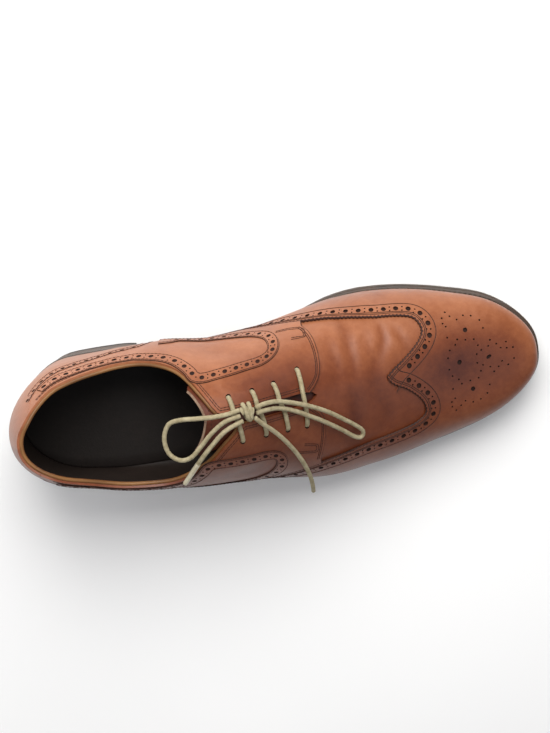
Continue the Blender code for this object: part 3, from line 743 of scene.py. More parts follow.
def tube_faces(start, rings, corners, closed=True):
    """Faces of a tube whose points come ring by ring, with flat ends where it is closed."""
    last = start + (rings - 1) * corners
    faces = []
    for p in range(start, last, corners):
        for c in range(corners):
            d = (c + 1) % corners
            faces.append([p + c, p + d, p + corners + d, p + corners + c])
    if closed:
        faces.append([start + c for c in reversed(range(corners))])
        faces.append([last + c for c in range(corners)])
    return faces


# Creases: depth and half width in metres, side, then places (along, turn)
CREASES = [
    (0.0009, 0.0034, 1, [(0.600, 34), (0.607, 42), (0.610, 51), (0.611, 61), (0.613, 71), (0.610, 82)]),
    (0.0009, 0.0030, 1, [(0.664, 44), (0.671, 52), (0.672, 59), (0.665, 67), (0.657, 75)]),
    (0.0006, 0.0026, 1, [(0.684, 48), (0.692, 55), (0.700, 62), (0.708, 69)]),
    (0.0005, 0.0042, 1, [(0.640, 58), (0.646, 72), (0.648, 84), (0.644, 102)]),
    (0.0005, 0.0042, 1, [(0.576, 44), (0.585, 58), (0.588, 72), (0.580, 84)]),
    (0.0006, 0.0040, -1, [(0.598, 54), (0.606, 62), (0.608, 74), (0.604, 84)]),
    (0.0005, 0.0038, -1, [(0.655, 58), (0.662, 66), (0.655, 78)]),
    (0.0007, 0.0020, 1, [(0.410, 60), (0.430, 61.5), (0.452, 62), (0.476, 59)]),
    (0.0006, 0.0020, 1, [(0.378, 57), (0.390, 60), (0.402, 64)]),
    (0.0005, 0.0022, 1, [(0.400, 57), (0.420, 55), (0.446, 54)]),
    (0.0009, 0.0075, 1, [(0.380, 26), (0.420, 31), (0.460, 35)]),
    (0.0006, 0.0060, -1, [(0.390, 36), (0.430, 40), (0.455, 44)]),
    (0.0005, 0.0060, 1, [(0.690, 30), (0.680, 20), (0.672, 8)]),
]
# A crease's depth in use, and the lip beside it: its share of the depth and its place
CREASE_SHARE = 0.85
LIP_SHARE = 0.35
LIP_AT = 1.9
WAVE_HEIGHT = 0.00009
# Darker and lighter regions: amount, then (middle, half width) along x and across y
TONE_SPOTS = [
    (-0.33, (0.226, 0.034), (0.002, 0.018)),
    (0.10, (0.225, 0.030), (-0.033, 0.012)),
    (-0.27, (0.118, 0.026), (0.012, 0.014)),
    (-0.19, (0.166, 0.022), (-0.006, 0.020)),
]
# The toe's pattern in mm from its centre: big holes and dots, mirrored across the middle
TOE_HOLES = [(0.0, 0.0), (18.3, 0.0), (6.5, 17.0)]
TOE_DOTS = [
    (-3.8, 28.2), (-1.5, 25.6), (-6.2, 25.4), (-6.5, 22.6), (-4.6, 20.6), (2.0, 23.4), (6.2, 25.0),
    (11.2, 24.0), (15.4, 21.2), (17.4, 16.4), (-5.2, 14.6), (0.4, 12.8), (5.6, 11.8), (10.8, 11.2),
    (12.8, 7.4), (-1.2, 10.0), (-4.6, 7.4), (18.6, 6.0), (20.4, 9.2), (23.6, 6.6), (26.0, 3.8),
    (29.8, 3.0), (33.6, 2.6), (11.0, 2.6), (-6.4, 3.2), (29.6, 6.6), (14.2, 4.4),
]
TOE_CENTRE = (0.2223, 0.0033)


def resample(side, line, spacing, offset=0.0):
    """Places at an even spacing in metres along a line of places."""
    fine = []
    for (a, t), (b, u) in zip(line[:-1], line[1:]):
        fine += [(a + (b - a) * s, t + (u - t) * s) for s in (0, 0.25, 0.5, 0.75)]
    along, turn = np.array(fine + [line[-1]]).T
    steps = np.linalg.norm(np.diff(on_last(side, along, turn, 0.0), axis=0), axis=1)
    lengths = np.concatenate([[0.0], np.cumsum(steps)])
    count = max(round((lengths[-1] - 2 * offset) / spacing), 1)
    at = np.linspace(offset, lengths[-1] - offset, count + 1)
    found = zip(np.interp(at, lengths, along), np.interp(at, lengths, turn))
    return [(float(a), float(t)) for a, t in found]


def metres_at(side, places):
    """Metres for a whole step of along and for a degree of turn, at many places."""
    along, turn = np.array(places).T
    turn = np.minimum(turn, 89.0)
    run = on_last(side, along + 0.004, turn, 0.0) - on_last(side, along - 0.004, turn, 0.0)
    climb = on_last(side, along, turn + 0.5, 0.0) - on_last(side, along, turn - 0.5, 0.0)
    return np.linalg.norm(run, axis=1) / 0.008, np.linalg.norm(climb, axis=1)


def shifted(side, line, distance):
    """A line of places moved to its left by a distance in metres, or by one for each place."""
    per_along, per_turn = metres_at(side, line)
    points = np.array(line)
    way = unit(np.gradient(points, axis=0) * np.stack([per_along, per_turn], 1))
    points[:, 0] -= way[:, 1] * distance / per_along
    points[:, 1] += way[:, 0] * distance / per_turn
    return [tuple(p) for p in points]


def pinked(side, line, depth=0.0006, pitch=0.0011):
    """A line of places cut into small teeth, its two ends kept."""
    even = resample(side, line, pitch)
    sway = np.array([depth / 2 if i % 2 else -depth / 2 for i in range(len(even))])
    sway[0] = 0.0
    sway[-1] = 0.0
    return shifted(side, even, sway)


def rings_at(side, places, bore, corners):
    """Round outlines of one bore at many places."""
    if not places:
        return []
    result = []
    for (a, t), run, climb in zip(places, *metres_at(side, places)):
        ring = [(a + x * bore / 2 / run, t + y * bore / 2 / climb) for x, y in circle(corners, 0.5)]
        result.append(ring)
    return result


def brogue_row(side, line, spacing, big=0.0028, small=0.00105, spread=0.00125):
    """A row of big holes with a pair of small ones between each two."""
    middles = resample(side, line, spacing, 0.003)
    between = [((a + b) / 2, (t + u) / 2) for (a, t), (b, u) in zip(middles[:-1], middles[1:])]
    pairs = shifted(side, between, spread) + shifted(side, between, -spread)
    return rings_at(side, middles, big, BIG_CORNERS) + rings_at(side, pairs, small, SMALL_CORNERS)


CREASE_LINES = []
for depth, width, side, places in CREASES:
    knots = np.array([on_last(side, [a], [t], 0.0)[0] for a, t in places])
    CREASE_LINES.append((depth, width, knots))


def crease_distance(points, knots):
    """Distance from each point to a line through knots, and how far along the line that is."""
    best = np.full(len(points), 1.0)
    share = np.zeros(len(points))
    for i in range(len(knots) - 1):
        way = knots[i + 1] - knots[i]
        s = np.clip((points - knots[i]) @ way / (way @ way), 0, 1)
        distance = np.linalg.norm(points - knots[i] - s[:, None] * way, axis=1)
        closer = distance < best
        best = np.where(closer, distance, best)
        share = np.where(closer, (i + s) / (len(knots) - 1), share)
    return best, share


def relief(points):
    """How far the leather stands off the last at each point: creases and soft waves."""
    total = np.zeros(len(points))
    for depth, width, knots in CREASE_LINES:
        distance, share = crease_distance(points, knots)
        fade = np.sqrt(np.clip(np.sin(np.pi * np.clip(share, 0.04, 0.96)), 0, 1))
        total -= depth * fade * np.exp(-((distance / width) ** 2))
        lip = (distance - LIP_AT * width) / width
        total += LIP_SHARE * depth * fade * np.exp(-(lip**2))
    x, y, z = points.T
    wave = np.sin(95 * x + 30 * y + 0.8) * np.sin(70 * y - 40 * z + 0.4)
    wave += 0.6 * np.sin(170 * x - 60 * y) * np.sin(120 * z + 30 * x)
    height = np.clip((z - feather_height(x + HEEL_LENGTH / 2)) / 0.016, 0, 1)
    body = np.clip((0.20 - x) / 0.04, 0, 1) * np.clip((x + 0.01) / 0.05, 0.15, 1)
    return total * CREASE_SHARE + WAVE_HEIGHT * wave * height * body


def skin(side, along, turn, height):
    """Points of the creased leather at a height over the last."""
    base = on_last(side, along, turn, 0.0)
    normal = (on_last(side, along, turn, 0.001) - base) / 0.001
    return base + normal * (height + relief(base))[:, None]


def hump(value, middle, half):
    """One at the middle and fading to both sides."""
    return np.exp(-(((value - middle) / half) ** 2))


def tone_and_painted_light_at(side, points, along, turn):
    """How light the leather is at each place, 0 dark to 1 light: burnish and colour spots, darker by the welt, and
    painted light: the medial side lighter, painted shade on the lateral side and in the creases, painted highlights on
    the creases' lips.
    """
    x, y, _ = points.T
    # Painted light: the medial side lighter and the lateral side darker across y, as the light comes from the medial
    # side
    tone = 0.55 + 0.06 * hump(turn, 20, 30) + 0.13 * np.clip(y / 0.035, -1, 1)
    for amount, (middle, half), (level, wide) in TONE_SPOTS:
        tone += amount * hump(x, middle, half) * hump(y, level, wide)
    # Lighter patches on the medial heel and the medial quarter, painted light on the lit side; lighter near the toe's
    # end
    tone += 0.10 * hump(x, -0.005, 0.05) * (side > 0)
    tone += 0.14 * hump(x, 0.274, 0.012) * np.clip((turn + 20) / 60, 0, 1)
    tone += 0.16 * hump(along, 0.43, 0.06) * hump(turn, 31, 9) * (side > 0)
    # Painted shade in the creases' troughs and a painted highlight on their lips
    tone += np.clip(150 * relief(points), -0.16, 0.03)
    tone -= 0.16 * hump(turn, -90, 24)
    # Painted shade on the lower lateral side, which faces away from the light
    tone -= 0.10 * (side < 0) * np.clip((50 - turn) / 40, 0, 1)
    return np.clip(tone, 0.02, 0.98)


def subdivided(border):
    """A border whose long straight runs get more points."""
    result = []
    for (a, t), (b, u) in zip(border, border[1:] + border[:1]):
        parts = max(math.ceil(max(abs(b - a) / STEP_ALONG, abs(u - t) / STEP_TURN) - 1e-6), 1)
        result += [(a + (b - a) * i / parts, t + (u - t) * i / parts) for i in range(parts)]
    return result


def fine_net(border, rings, extra=()):
    """Places and triangles inside a border, and where each ring's points ended up."""
    low = min(a for a, _ in border)
    high = max(a for a, _ in border)
    least = min(t for _, t in border)
    most = max(t for _, t in border)
    places = []
    for j in range(int(least / STEP_TURN) - 1, int(most / STEP_TURN) + 2):
        for i in range(int(low / STEP_ALONG) - 1, int(high / STEP_ALONG) + 2):
            a = (i + 0.5 * (j % 2)) * STEP_ALONG
            t = j * STEP_TURN
            if low < a < high and least < t < most:
                places.append((a, t))
    places += list(extra)
    loops = []
    for loop in [subdivided(border)] + list(rings):
        loops.append(list(range(len(places), len(places) + len(loop))))
        places += loop if area(loop) > 0 else loop[::-1]
    flat = [(a * NET_SCALE, t) for a, t in places]
    found = delaunay_2d_cdt(flat, [], loops, 0, 0.004, True)
    corners = [(p[0] / NET_SCALE, p[1]) for p in found[0]]
    inside = [list(face) for face, source in zip(found[2], found[5]) if list(source) == [0]]
    home = {}
    for new, sources in enumerate(found[3]):
        for old in sources:
            home[old] = new
    return corners, inside, [[home[i] for i in loop] for loop in loops[1:]]


def clear_rings(side, rings, border):
    """The rings that stand clear of the border and of the rings before them."""
    if not rings:
        return []
    sizes = []
    spots = np.array([p for ring in rings for p in ring])
    every = on_last(side, spots[:, 0], spots[:, 1], 0.0)
    start = 0
    for ring in rings:
        points = every[start : start + len(ring)]
        start += len(ring)
        middle = points.mean(axis=0)
        sizes.append((middle, np.linalg.norm(points - middle, axis=1).max()))
    edge = subdivided(border)
    edge = on_last(side, [p[0] for p in edge], [p[1] for p in edge], 0.0)
    kept = []
    for ring, (middle, radius) in zip(rings, sizes):
        if np.linalg.norm(edge - middle, axis=1).min() < radius + 0.0007:
            continue
        if all(np.linalg.norm(other - middle) > radius + wide + 0.0002 for _, other, wide in kept):
            kept.append((ring, middle, radius))
    return [ring for ring, _, _ in kept]


def over_ridge(places):
    """The lateral side's places, told as the medial side's that run on over the ridge."""
    return [(a, 180.0 - t) for a, t in places]


def new_object(name, points, faces, materials, picks=None, angle=40):
    """A smooth-shaded mesh object with its materials."""
    mesh = bpy.data.meshes.new(name)
    mesh.from_pydata([tuple(p) for p in points], [], faces)
    for used in materials:
        mesh.materials.append(used)
    if picks is not None:
        mesh.polygons.foreach_set("material_index", picks)
    mesh.shade_smooth()
    mesh.set_sharp_from_angle(angle=math.radians(angle))
    obj = bpy.data.objects.new(name, mesh)
    bpy.context.scene.collection.objects.link(obj)
    return obj


def mended(obj, weld=False):
    """The object with its faces turned outwards, and with weld, doubled points made one."""
    fix = bmesh.new()
    fix.from_mesh(obj.data)
    if weld:
        bmesh.ops.remove_doubles(fix, verts=fix.verts, dist=SAME_POINT)
    bmesh.ops.recalc_face_normals(fix, faces=fix.faces)
    fix.to_mesh(obj.data)
    fix.free()
    return obj


def set_tone(obj, tone):
    """The tone attribute that the leather reads, one value a point."""
    layer = obj.data.attributes.new("tone", "FLOAT", "POINT")
    layer.data.foreach_set("value", tone.astype(np.float32))


def place_key(side, a, t, index):
    """The same key for a place that both sides share."""
    if a < 1e-7:
        return ("heel", round(t, 4))
    if a > 1 - 1e-7:
        return ("toe", round(t, 4))
    return (side, index)


def to_ridge(line):
    """A line that runs on to the ridge where it stops short of it."""
    (a, t), (b, u) = line[-2:]
    if t < u < RIDGE_TURN:
        line = line + [(b + (b - a) * (RIDGE_TURN - u) / (u - t), RIDGE_TURN)]
    return line


def panel(name, borders, rings, low, high, materials, hole_depth=0.0011, through=False, painted_shade=0.0, wall=2):
    """A leather piece with real thickness, punched with blind holes.
    materials are the outside, the inside and the holes' bottom; wall is the one on its edge."""
    index = {}
    sides = []
    places = []
    triangles = []
    hole_loops = []
    for side, border in borders.items():
        corners, inside, loops = fine_net(border, clear_rings(side, rings.get(side, []), border))
        ids = []
        for number, (a, t) in enumerate(corners):
            there = side if t <= 90 else -side
            t = t if t <= 90 else 180 - t
            key = place_key(side, a, t, number)
            if key not in index:
                index[key] = len(places)
                places.append((a, t))
                sides.append(there)
            ids.append(index[key])
        for face in inside:
            loop = [ids[i] for i in face]
            if len(set(loop)) == 3:
                triangles.append(loop if side < 0 else loop[::-1])
        for loop in loops:
            hole_loops.append([ids[i] for i in (loop if side < 0 else loop[::-1])])
    used = sorted({i for loop in triangles for i in loop})
    order = {old: new for new, old in enumerate(used)}
    side = np.array([sides[i] for i in used], float)
    along = np.array([places[i][0] for i in used])
    turn = np.array([places[i][1] for i in used])
    top = skin(side, along, turn, high)
    under = skin(side, along, turn, low)
    count = len(used)
    triangles = [[order[i] for i in loop] for loop in triangles]
    hole_loops = [[order[i] for i in loop] for loop in hole_loops if all(i in order for i in loop)]
    hole_points = {i for loop in hole_loops for i in loop}
    ways = {(loop[i], loop[(i + 1) % 3]) for loop in triangles for i in range(3)}
    faces = triangles + [[i + count for i in loop[::-1]] for loop in triangles]
    picks = [0] * len(triangles) + [1] * len(triangles)
    for a, b in ways:
        holed = a in hole_points and b in hole_points
        if (b, a) not in ways and (through or not holed):
            faces.append([b, a, a + count, b + count])
            picks.append((2 if holed else 0) if through else wall)
    extra = []
    blind = [] if through else hole_loops
    flat = [i for loop in blind for i in loop]
    floor = skin(side[flat], along[flat], turn[flat], high - hole_depth) if flat else []
    done = 0
    for loop in blind:
        n = len(loop)
        ring = floor[done : done + n]
        done += n
        base = 2 * count + len(extra)
        extra += list(ring) + [ring.mean(axis=0)]
        for i in range(n):
            j = (i + 1) % n
            faces.append([loop[j], loop[i], base + i, base + j])
            faces.append([base + j, base + i, base + n])
            picks += [2, 2]
        for i in range(1, n - 1):
            faces.append([loop[0] + count, loop[i] + count, loop[i + 1] + count])
            picks.append(1)
    points = np.concatenate([top, under] + ([np.array(extra)] if extra else []))
    tone = tone_and_painted_light_at(side, top, along, turn)
    obj = new_object(name, points, faces, materials, picks)
    # An amount taken off the whole piece's tone is painted shade; the holes' floors take a dark tone of 0.1
    set_tone(obj, np.concatenate([tone, tone, np.full(len(extra), 0.1)]) - painted_shade)
    return mended(obj)


def stitch_row(side, line, height, pitch=STITCH_PITCH):
    """Stitches along a line of places: points and faces of small sunk capsules."""
    even = np.array(resample(side, line, pitch))
    start = even[:-1]
    step = even[1:] - start
    # Each ring: its share of the pitch, its width and how deep it sinks, in half threads
    rings = [(0.0, 0.35, -0.9), (0.14, 1.0, 0.0)]
    rings += [(STITCH_SHARE - 0.14, 1.0, 0.0), (STITCH_SHARE, 0.35, -0.9)]
    half = THREAD_THICK / 2
    middle = []
    for s, _, drop in rings:
        along, turn = (start + step * s).T
        middle.append(skin(side, along, turn, height + drop * half))
    way = unit(middle[2] - middle[1])
    along, turn = (start + step * STITCH_SHARE / 2).T
    up = unit(on_last(side, along, turn, 0.001) - on_last(side, along, turn, 0.0))
    across = np.cross(up, way)
    corners = 6
    points = []
    for at, (_, wide, _) in zip(middle, rings):
        points += [at + (x * across + y * up) * wide * half for x, y in circle(corners)]
    points = np.array(points).transpose(1, 0, 2).reshape(-1, 3)
    faces = []
    for n in range(len(start)):
        faces += tube_faces(n * corners * len(rings), len(rings), corners)
    return points, faces


def stitches(name, rows, used):
    """One object of many rows of stitches: rows are (side, line, height) and more."""
    points = []
    faces = []
    start = 0
    for row in rows:
        more, loops = stitch_row(*row)
        points.append(more)
        faces += [[i + start for i in loop] for loop in loops]
        start += len(more)
    return new_object(name, np.concatenate(points), faces, [used], angle=60)


def edge_lines(name, lines, used):
    """Thin dark lines along cut edges and stitched grooves: (side, places, height, radius)."""
    points = []
    faces = []
    corners = 5
    start = 0
    for side, line, height, radius in lines:
        along, turn = np.array(line).T
        middle = skin(side, along, turn, height)
        up = unit(skin(side, along, turn, height + 0.001) - middle)
        across = np.cross(up, unit(np.gradient(middle, axis=0)))
        rings = [middle + (x * across + y * up) * radius for x, y in circle(corners)]
        points.append(np.stack(rings, 1).reshape(-1, 3))
        faces += tube_faces(start, len(line), corners)
        start += corners * len(line)
    return new_object(name, np.concatenate(points), faces, [used], angle=60)


def seam(side, line, height, sink, radius, pitch=STITCH_PITCH):
    """A row of stitches with a thin dark line along it: the burnished channel, with painted shade where a groove would
    be.
    """
    rows.append((side, line, height, pitch))
    lines.append((side, resample(side, line, GROOVE_STEP), height - sink, radius))


def cord_mesh(name, route, thick, used, taper=None, twist=0.0011, bulge=0.055):
    """A woven round cord through a route, with its braid as real relief, and its path."""
    fine = evenly(route, CORD_STEP)
    way = unit(np.gradient(fine, axis=0))
    side = np.cross(way[0], (0.0, 0.0, 1.0))
    side /= np.linalg.norm(side)
    corners = 18
    points = []
    distance = 0.0
    for i, point in enumerate(fine):
        if i:
            distance += np.linalg.norm(fine[i] - fine[i - 1])
        side = side - way[i] * (side @ way[i])
        side /= np.linalg.norm(side)
        up = np.cross(way[i], side)
        radius = thick / 2 * (taper(i / (len(fine) - 1)) if taper else 1.0)
        turned = math.tau * distance / twist
        for c in range(corners):
            g = math.tau * c / corners
            weave = math.cos(turned + 3 * g) * math.cos(turned - 3 * g)
            reach = radius * (1 + bulge * weave)
            points.append(point + (math.cos(g) * side + math.sin(g) * up) * reach)
    faces = tube_faces(0, len(fine), corners, closed=False)
    last = (len(fine) - 1) * corners
    points.append(fine[0] - way[0] * thick * 0.12)
    points.append(fine[-1] + way[-1] * thick * 0.12)
    for c in range(corners):
        d = (c + 1) % corners
        faces.append([c, len(points) - 2, d])
        faces.append([last + d, len(points) - 1, last + c])
    obj = new_object(name, points, faces, [used], angle=80)
    step = max(len(fine) // 60, 1)
    path = [tuple(float(v) for v in p) for p in fine[: -step // 2 : step]]
    return obj, path + [tuple(float(v) for v in fine[-1])]


def nodes_of(name):
    """A new material, its shader, a helper that adds nodes and one that links two."""
    made = bpy.data.materials.new(name)
    made.use_nodes = True
    tree = made.node_tree

    def link(a, output, b, socket):
        tree.links.new(a.outputs[output], b.inputs[socket])

    def add(kind, vector=None, **settings):
        """A node with its settings, fed from a place node's first fitting output."""
        node = tree.nodes.new("ShaderNode" + kind)
        for key, value in settings.items():
            if key in node.inputs:
                node.inputs[key].default_value = value
            else:
                setattr(node, key, value)
        if vector:
            link(*vector, node, "Vector")
        return node

    return made, tree.nodes["Principled BSDF"], add, link


def ramp(add, stops):
    """A colour ramp through (place, colour) stops."""
    node = add("ValToRGB")
    line = node.color_ramp
    while len(line.elements) > 1:
        line.elements.remove(line.elements[-1])
    line.elements[0].position = stops[0][0]
    line.elements[0].color = (*stops[0][1], 1)
    for place, colour in stops[1:]:
        line.elements.new(place).color = (*colour, 1)
    return node


def spread_gloss(add, link, shader, source, least, most):
    """Roughness between two values, from a noise."""
    gloss = add("MapRange")
    gloss.inputs["To Min"].default_value = least
    gloss.inputs["To Max"].default_value = most
    link(source, "Fac", gloss, "Value")
    link(gloss, "Result", shader, "Roughness")


def leather(name, stops, rough=0.38, coat=0.12, grain=0.5, vary=0.30):
    """Polished grain leather: its tone attribute, which holds colour with painted light and shade, mottling, pores,
    fine creases and a coat.
    """
    made, shader, add, link = nodes_of(name)
    where = (add("TexCoord"), "Object")
    tone = add("Attribute", attribute_name="tone")
    cloud = add("TexNoise", where, Scale=27.0, Detail=5.0, Roughness=0.6)
    fleck = add("TexNoise", where, Scale=260.0, Detail=4.0, Roughness=0.65)
    parts = []
    for source, share in ((cloud, vary), (fleck, vary * 0.7)):
        part = add("Math", operation="MULTIPLY_ADD")
        link(source, "Fac", part, 0)
        part.inputs[1].default_value = share
        part.inputs[2].default_value = -share / 2
        parts.append(part)
    mottle = add("Math", operation="ADD")
    link(parts[0], 0, mottle, 0)
    link(parts[1], 0, mottle, 1)
    total = add("Math", operation="ADD")
    link(mottle, 0, total, 0)
    link(tone, "Fac", total, 1)
    colours = ramp(add, stops)
    link(total, 0, colours, "Fac")
    link(colours, "Color", shader, "Base Color")
    spread_gloss(add, link, shader, cloud, rough - 0.08, rough + 0.14)
    pores = add("TexVoronoi", where, Scale=1500.0, feature="DISTANCE_TO_EDGE")
    pebble = add("Bump", Strength=0.16 * grain, Distance=0.0003)
    link(pores, "Distance", pebble, "Height")
    creased = add("TexNoise", where, Scale=420.0, Detail=6.0, Roughness=0.7, Distortion=0.6)
    wrinkle = add("Bump", Strength=0.30 * grain, Distance=0.0005)
    link(creased, "Fac", wrinkle, "Height")
    link(pebble, "Normal", wrinkle, "Normal")
    link(wrinkle, "Normal", shader, "Normal")
    shader.inputs["Coat Weight"].default_value = coat
    shader.inputs["Coat Roughness"].default_value = 0.30
    shader.inputs["Specular IOR Level"].default_value = SPECULAR
    return made


def plain(name, dark, light, rough, scale=120.0, bump=0.25, bump_scale=600.0, coat=0.0,
          stretch=(1, 1, 1)):
    """A mottled material between two colours, with a fine bump."""
    made, shader, add, link = nodes_of(name)
    mapping = add("Mapping", (add("TexCoord"), "Object"), Scale=stretch)
    place = (mapping, "Vector")
    cloud = add("TexNoise", place, Scale=scale, Detail=5.0, Roughness=0.62)
    colours = ramp(add, [(0.3, dark), (0.7, light)])
    link(cloud, "Fac", colours, "Fac")
    link(colours, "Color", shader, "Base Color")
    spread_gloss(add, link, shader, cloud, rough - 0.08, rough + 0.1)
    fine = add("TexNoise", place, Scale=bump_scale, Detail=4.0, Roughness=0.6)
    lift = add("Bump", Strength=bump, Distance=0.0004)
    link(fine, "Fac", lift, "Height")
    link(lift, "Normal", shader, "Normal")
    shader.inputs["Coat Weight"].default_value = coat
    shader.inputs["Specular IOR Level"].default_value = SPECULAR
    return made


TAN = [
    (0.0, (0.028, 0.006, 0.004)),
    (0.22, (0.070, 0.014, 0.006)),
    (0.45, (0.160, 0.040, 0.014)),
    (0.62, (0.255, 0.078, 0.029)),
    (0.80, (0.375, 0.140, 0.064)),
    (1.0, (0.500, 0.230, 0.128)),
]
RIM_TAN = [(0.0, (0.06, 0.022, 0.008)), (0.5, (0.21, 0.093, 0.028)), (1.0, (0.34, 0.18, 0.065))]
DARK = [(0.0, (0.008, 0.005, 0.004)), (0.5, (0.024, 0.015, 0.011)), (1.0, (0.058, 0.039, 0.028))]

tan = leather("tan_leather_skin", TAN)
tan_back = leather("tan_leather_back", DARK, rough=0.7, coat=0.0)
# Near black: painted shade inside the punched holes, over tan leather, and the dark cut edges on the overlays' walls
hole_shade_and_edge = plain("punched_hole_shade_and_edge", (0.010, 0.004, 0.003), (0.045, 0.016, 0.010), 0.8)
rim_leather = leather("rim_leather", RIM_TAN, rough=0.45, coat=0.1)
lining = leather("lining_leather", DARK, rough=0.62, coat=0.0, grain=0.9, vary=0.5)
thread = plain("dark_thread", (0.028, 0.009, 0.006), (0.075, 0.026, 0.016), 0.75, scale=900.0)
# Dark lines along the overlays' edges and the stitch channels: partly the dark dyed edge and burnished channel, partly
# painted shadow under the edges and in the grooves
cut_edge_and_painted_shadow = plain("cut_edge_and_painted_shadow", (0.022, 0.007, 0.005), (0.070, 0.024, 0.014), 0.7)
welt_thread = plain("welt_thread", (0.035, 0.026, 0.02), (0.10, 0.075, 0.055), 0.8, scale=900.0)
sole_edge = plain("sole_edge", (0.024, 0.014, 0.008), (0.066, 0.038, 0.023), 0.45,
                  scale=90.0, coat=0.15, stretch=(1, 1, 5))
sole_under = plain("sole_under", (0.13, 0.075, 0.04), (0.24, 0.15, 0.085), 0.6,
                   scale=60.0, stretch=(0.5, 1.6, 1))
stack_side = plain("stack_side", (0.055, 0.036, 0.027), (0.150, 0.110, 0.086), 0.55,
                   scale=150.0, stretch=(0.6, 0.6, 7))
rubber = plain("heel_rubber_skin", (0.016, 0.015, 0.014), (0.05, 0.046, 0.042), 0.75, scale=200.0)
lace_skin = plain("lace_cotton", (0.25, 0.205, 0.115), (0.42, 0.365, 0.235), 0.88,
                  scale=300.0, bump=0.5, bump_scale=1500.0)
tip_skin = plain("tip_film", (0.46, 0.40, 0.27), (0.62, 0.57, 0.43), 0.28, scale=300.0, coat=0.5)
pale_edge = plain("pale_leather_edge", (0.16, 0.095, 0.060), (0.33, 0.22, 0.15), 0.6, scale=400.0)
SKINS = [tan, tan_back, hole_shade_and_edge]
NAMES = {1: "medial", -1: "lateral"}


def finish_piece(obj, slot_name, *nodes):
    """The piece rides on the shoe, takes a material slot and stands for CAD nodes."""
    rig.ride(obj, "root")
    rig.slot(obj, slot_name)
    if nodes:
        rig.replaces(obj, *nodes)
    return obj


# Every row of stitches and every dark line that the builders below ask for
rows = []
lines = []


def build_vamp():
    """The whole upper under its overlays, with the dark lining inside it."""
    border = [(0.0, -90.0), (1.0, -90.0), (1.0, 270.0), (0.0, 270.0)]
    border += over_ridge(opening_line(-1, 0.0, THROAT, 90))[:-1] + opening_line(1, THROAT, 0.0, 90)
    eyes = rings_at(1, side_columns(EYELETS, 1), EYELET_BORE, EYELET_CORNERS)
    lateral = rings_at(-1, side_columns(EYELETS, -1), EYELET_BORE, EYELET_CORNERS)
    eyes += [over_ridge(ring) for ring in lateral]
    obj = panel("vamp", {1: border}, {1: eyes}, -WALL, 0.0, [tan, lining, hole_shade_and_edge], through=True)
    finish_piece(obj, "tan_leather", "upper")


def wing_edge(side):
    """The wing cap's edge as a rounder line."""
    return spline(side_columns(WING_EDGE, side), 5)


def toe_grid():
    """Places over the toe with their points, for both sides."""
    a, t = np.meshgrid(np.linspace(0.70, 0.99, 117), np.linspace(30, 89.5, 120), indexing="ij")
    a = a.ravel()
    t = t.ravel()
    return [(side, a, t, on_last(side, a, t, 0.0)) for side in (1, -1)]


def toe_place(spot, grid):
    """The place on the last right above a plan point of the toe."""
    best = None
    for side, a, t, base in grid:
        gap = np.hypot(base[:, 0] - spot[0], base[:, 1] - spot[1])
        i = int(np.argmin(gap))
        if best is None or gap[i] < best[0]:
            best = (gap[i], side, (float(a[i]), float(t[i])))
    return best[1:]


def medallion():
    """Rings of the toe's pattern of holes."""
    rings = []
    grid = toe_grid()
    for spots, bore, corners in ((TOE_HOLES, 0.0028, BIG_CORNERS), (TOE_DOTS, 0.00115, SMALL_CORNERS)):
        for u, v in spots:
            for mirror in (1, -1) if v else (1,):
                spot = (TOE_CENTRE[0] + u / 1000, TOE_CENTRE[1] + mirror * v / 1000)
                side, place = toe_place(spot, grid)
                ring = rings_at(side, [place], bore, corners)[0]
                rings.append(ring if side > 0 else over_ridge(ring))
    return rings


def build_wing():
    """The wing cap with its pinked edge, brogue row and medallion."""
    edges = {}
    rings = []
    for s in (1, -1):
        edge = wing_edge(s)
        edge[0] = (edge[0][0], SKIN_LOW)
        edges[s] = pinked(s, edge)
        inner = to_ridge(shifted(s, edge, -0.0046))
        row = [p for p in inner if -50 < p[1] < 87.0]
        holes = brogue_row(s, row, 0.0074, big=0.0031)
        rings += holes if s > 0 else [over_ridge(ring) for ring in holes]
        for inset in (0.0013, 0.0023, 0.0084):
            line = to_ridge(shifted(s, edge, -inset))
            seam(s, [p for p in line if p[1] > -70], HIGH, 0.00008, 0.00032)
        # A thick dark line under the pinked edge: its dark cut edge and painted shadow of the teeth
        lines.append((s, [p for p in edges[s] if p[1] < RIDGE_TURN], HIGH - EDGE_DROP, 0.00072))
    border = edges[1][:-1] + over_ridge(edges[-1])[::-1] + [(1.0, 180.0 - SKIN_LOW), (1.0, SKIN_LOW)]
    obj = panel("wing_cap_skin", {1: border}, {1: rings + medallion()}, 0.0, HIGH, SKINS)
    finish_piece(obj, "tan_leather", "wing_cap")


def counter_edge(side):
    """The counter's edge as a rounder line up to the collar."""
    return spline(COUNTER_EDGE, 5) + [(COUNTER_END, collar_turn(side, COUNTER_END))]


def build_counter():
    """The heel counter with its brogued top edge."""
    borders = {}
    rings = {}
    for s in (1, -1):
        edge = counter_edge(s)
        edge[0] = (edge[0][0], SKIN_LOW)
        collar = opening_line(s, COUNTER_END, 0.0, 30)[1:]
        borders[s] = pinked(s, edge) + collar + [(0.0, SKIN_LOW)]
        inner = shifted(s, edge, 0.0042)
        row = [p for p in inner if 0 < p[1] < 30]
        rings[s] = brogue_row(s, row, 0.0068, big=0.0025, small=0.0010, spread=0.0011)
        for inset in (0.0012, 0.0021, 0.0072):
            line = shifted(s, edge, inset)
            kept = [p for p in line if -70 < p[1] < 34.0 and p[0] > 0.086]
            seam(s, kept, HIGH, 0.00010, 0.00027)
        # A dark line under the pinked edge: its dark cut edge and painted shadow
        lines.append((s, pinked(s, [p for p in edge if p[0] > 0.084]), HIGH - EDGE_DROP, 0.0005))
    obj = panel("counter_skin", borders, rings, 0.0, HIGH, SKINS, wall=0)
    finish_piece(obj, "tan_leather", "heel_counter")


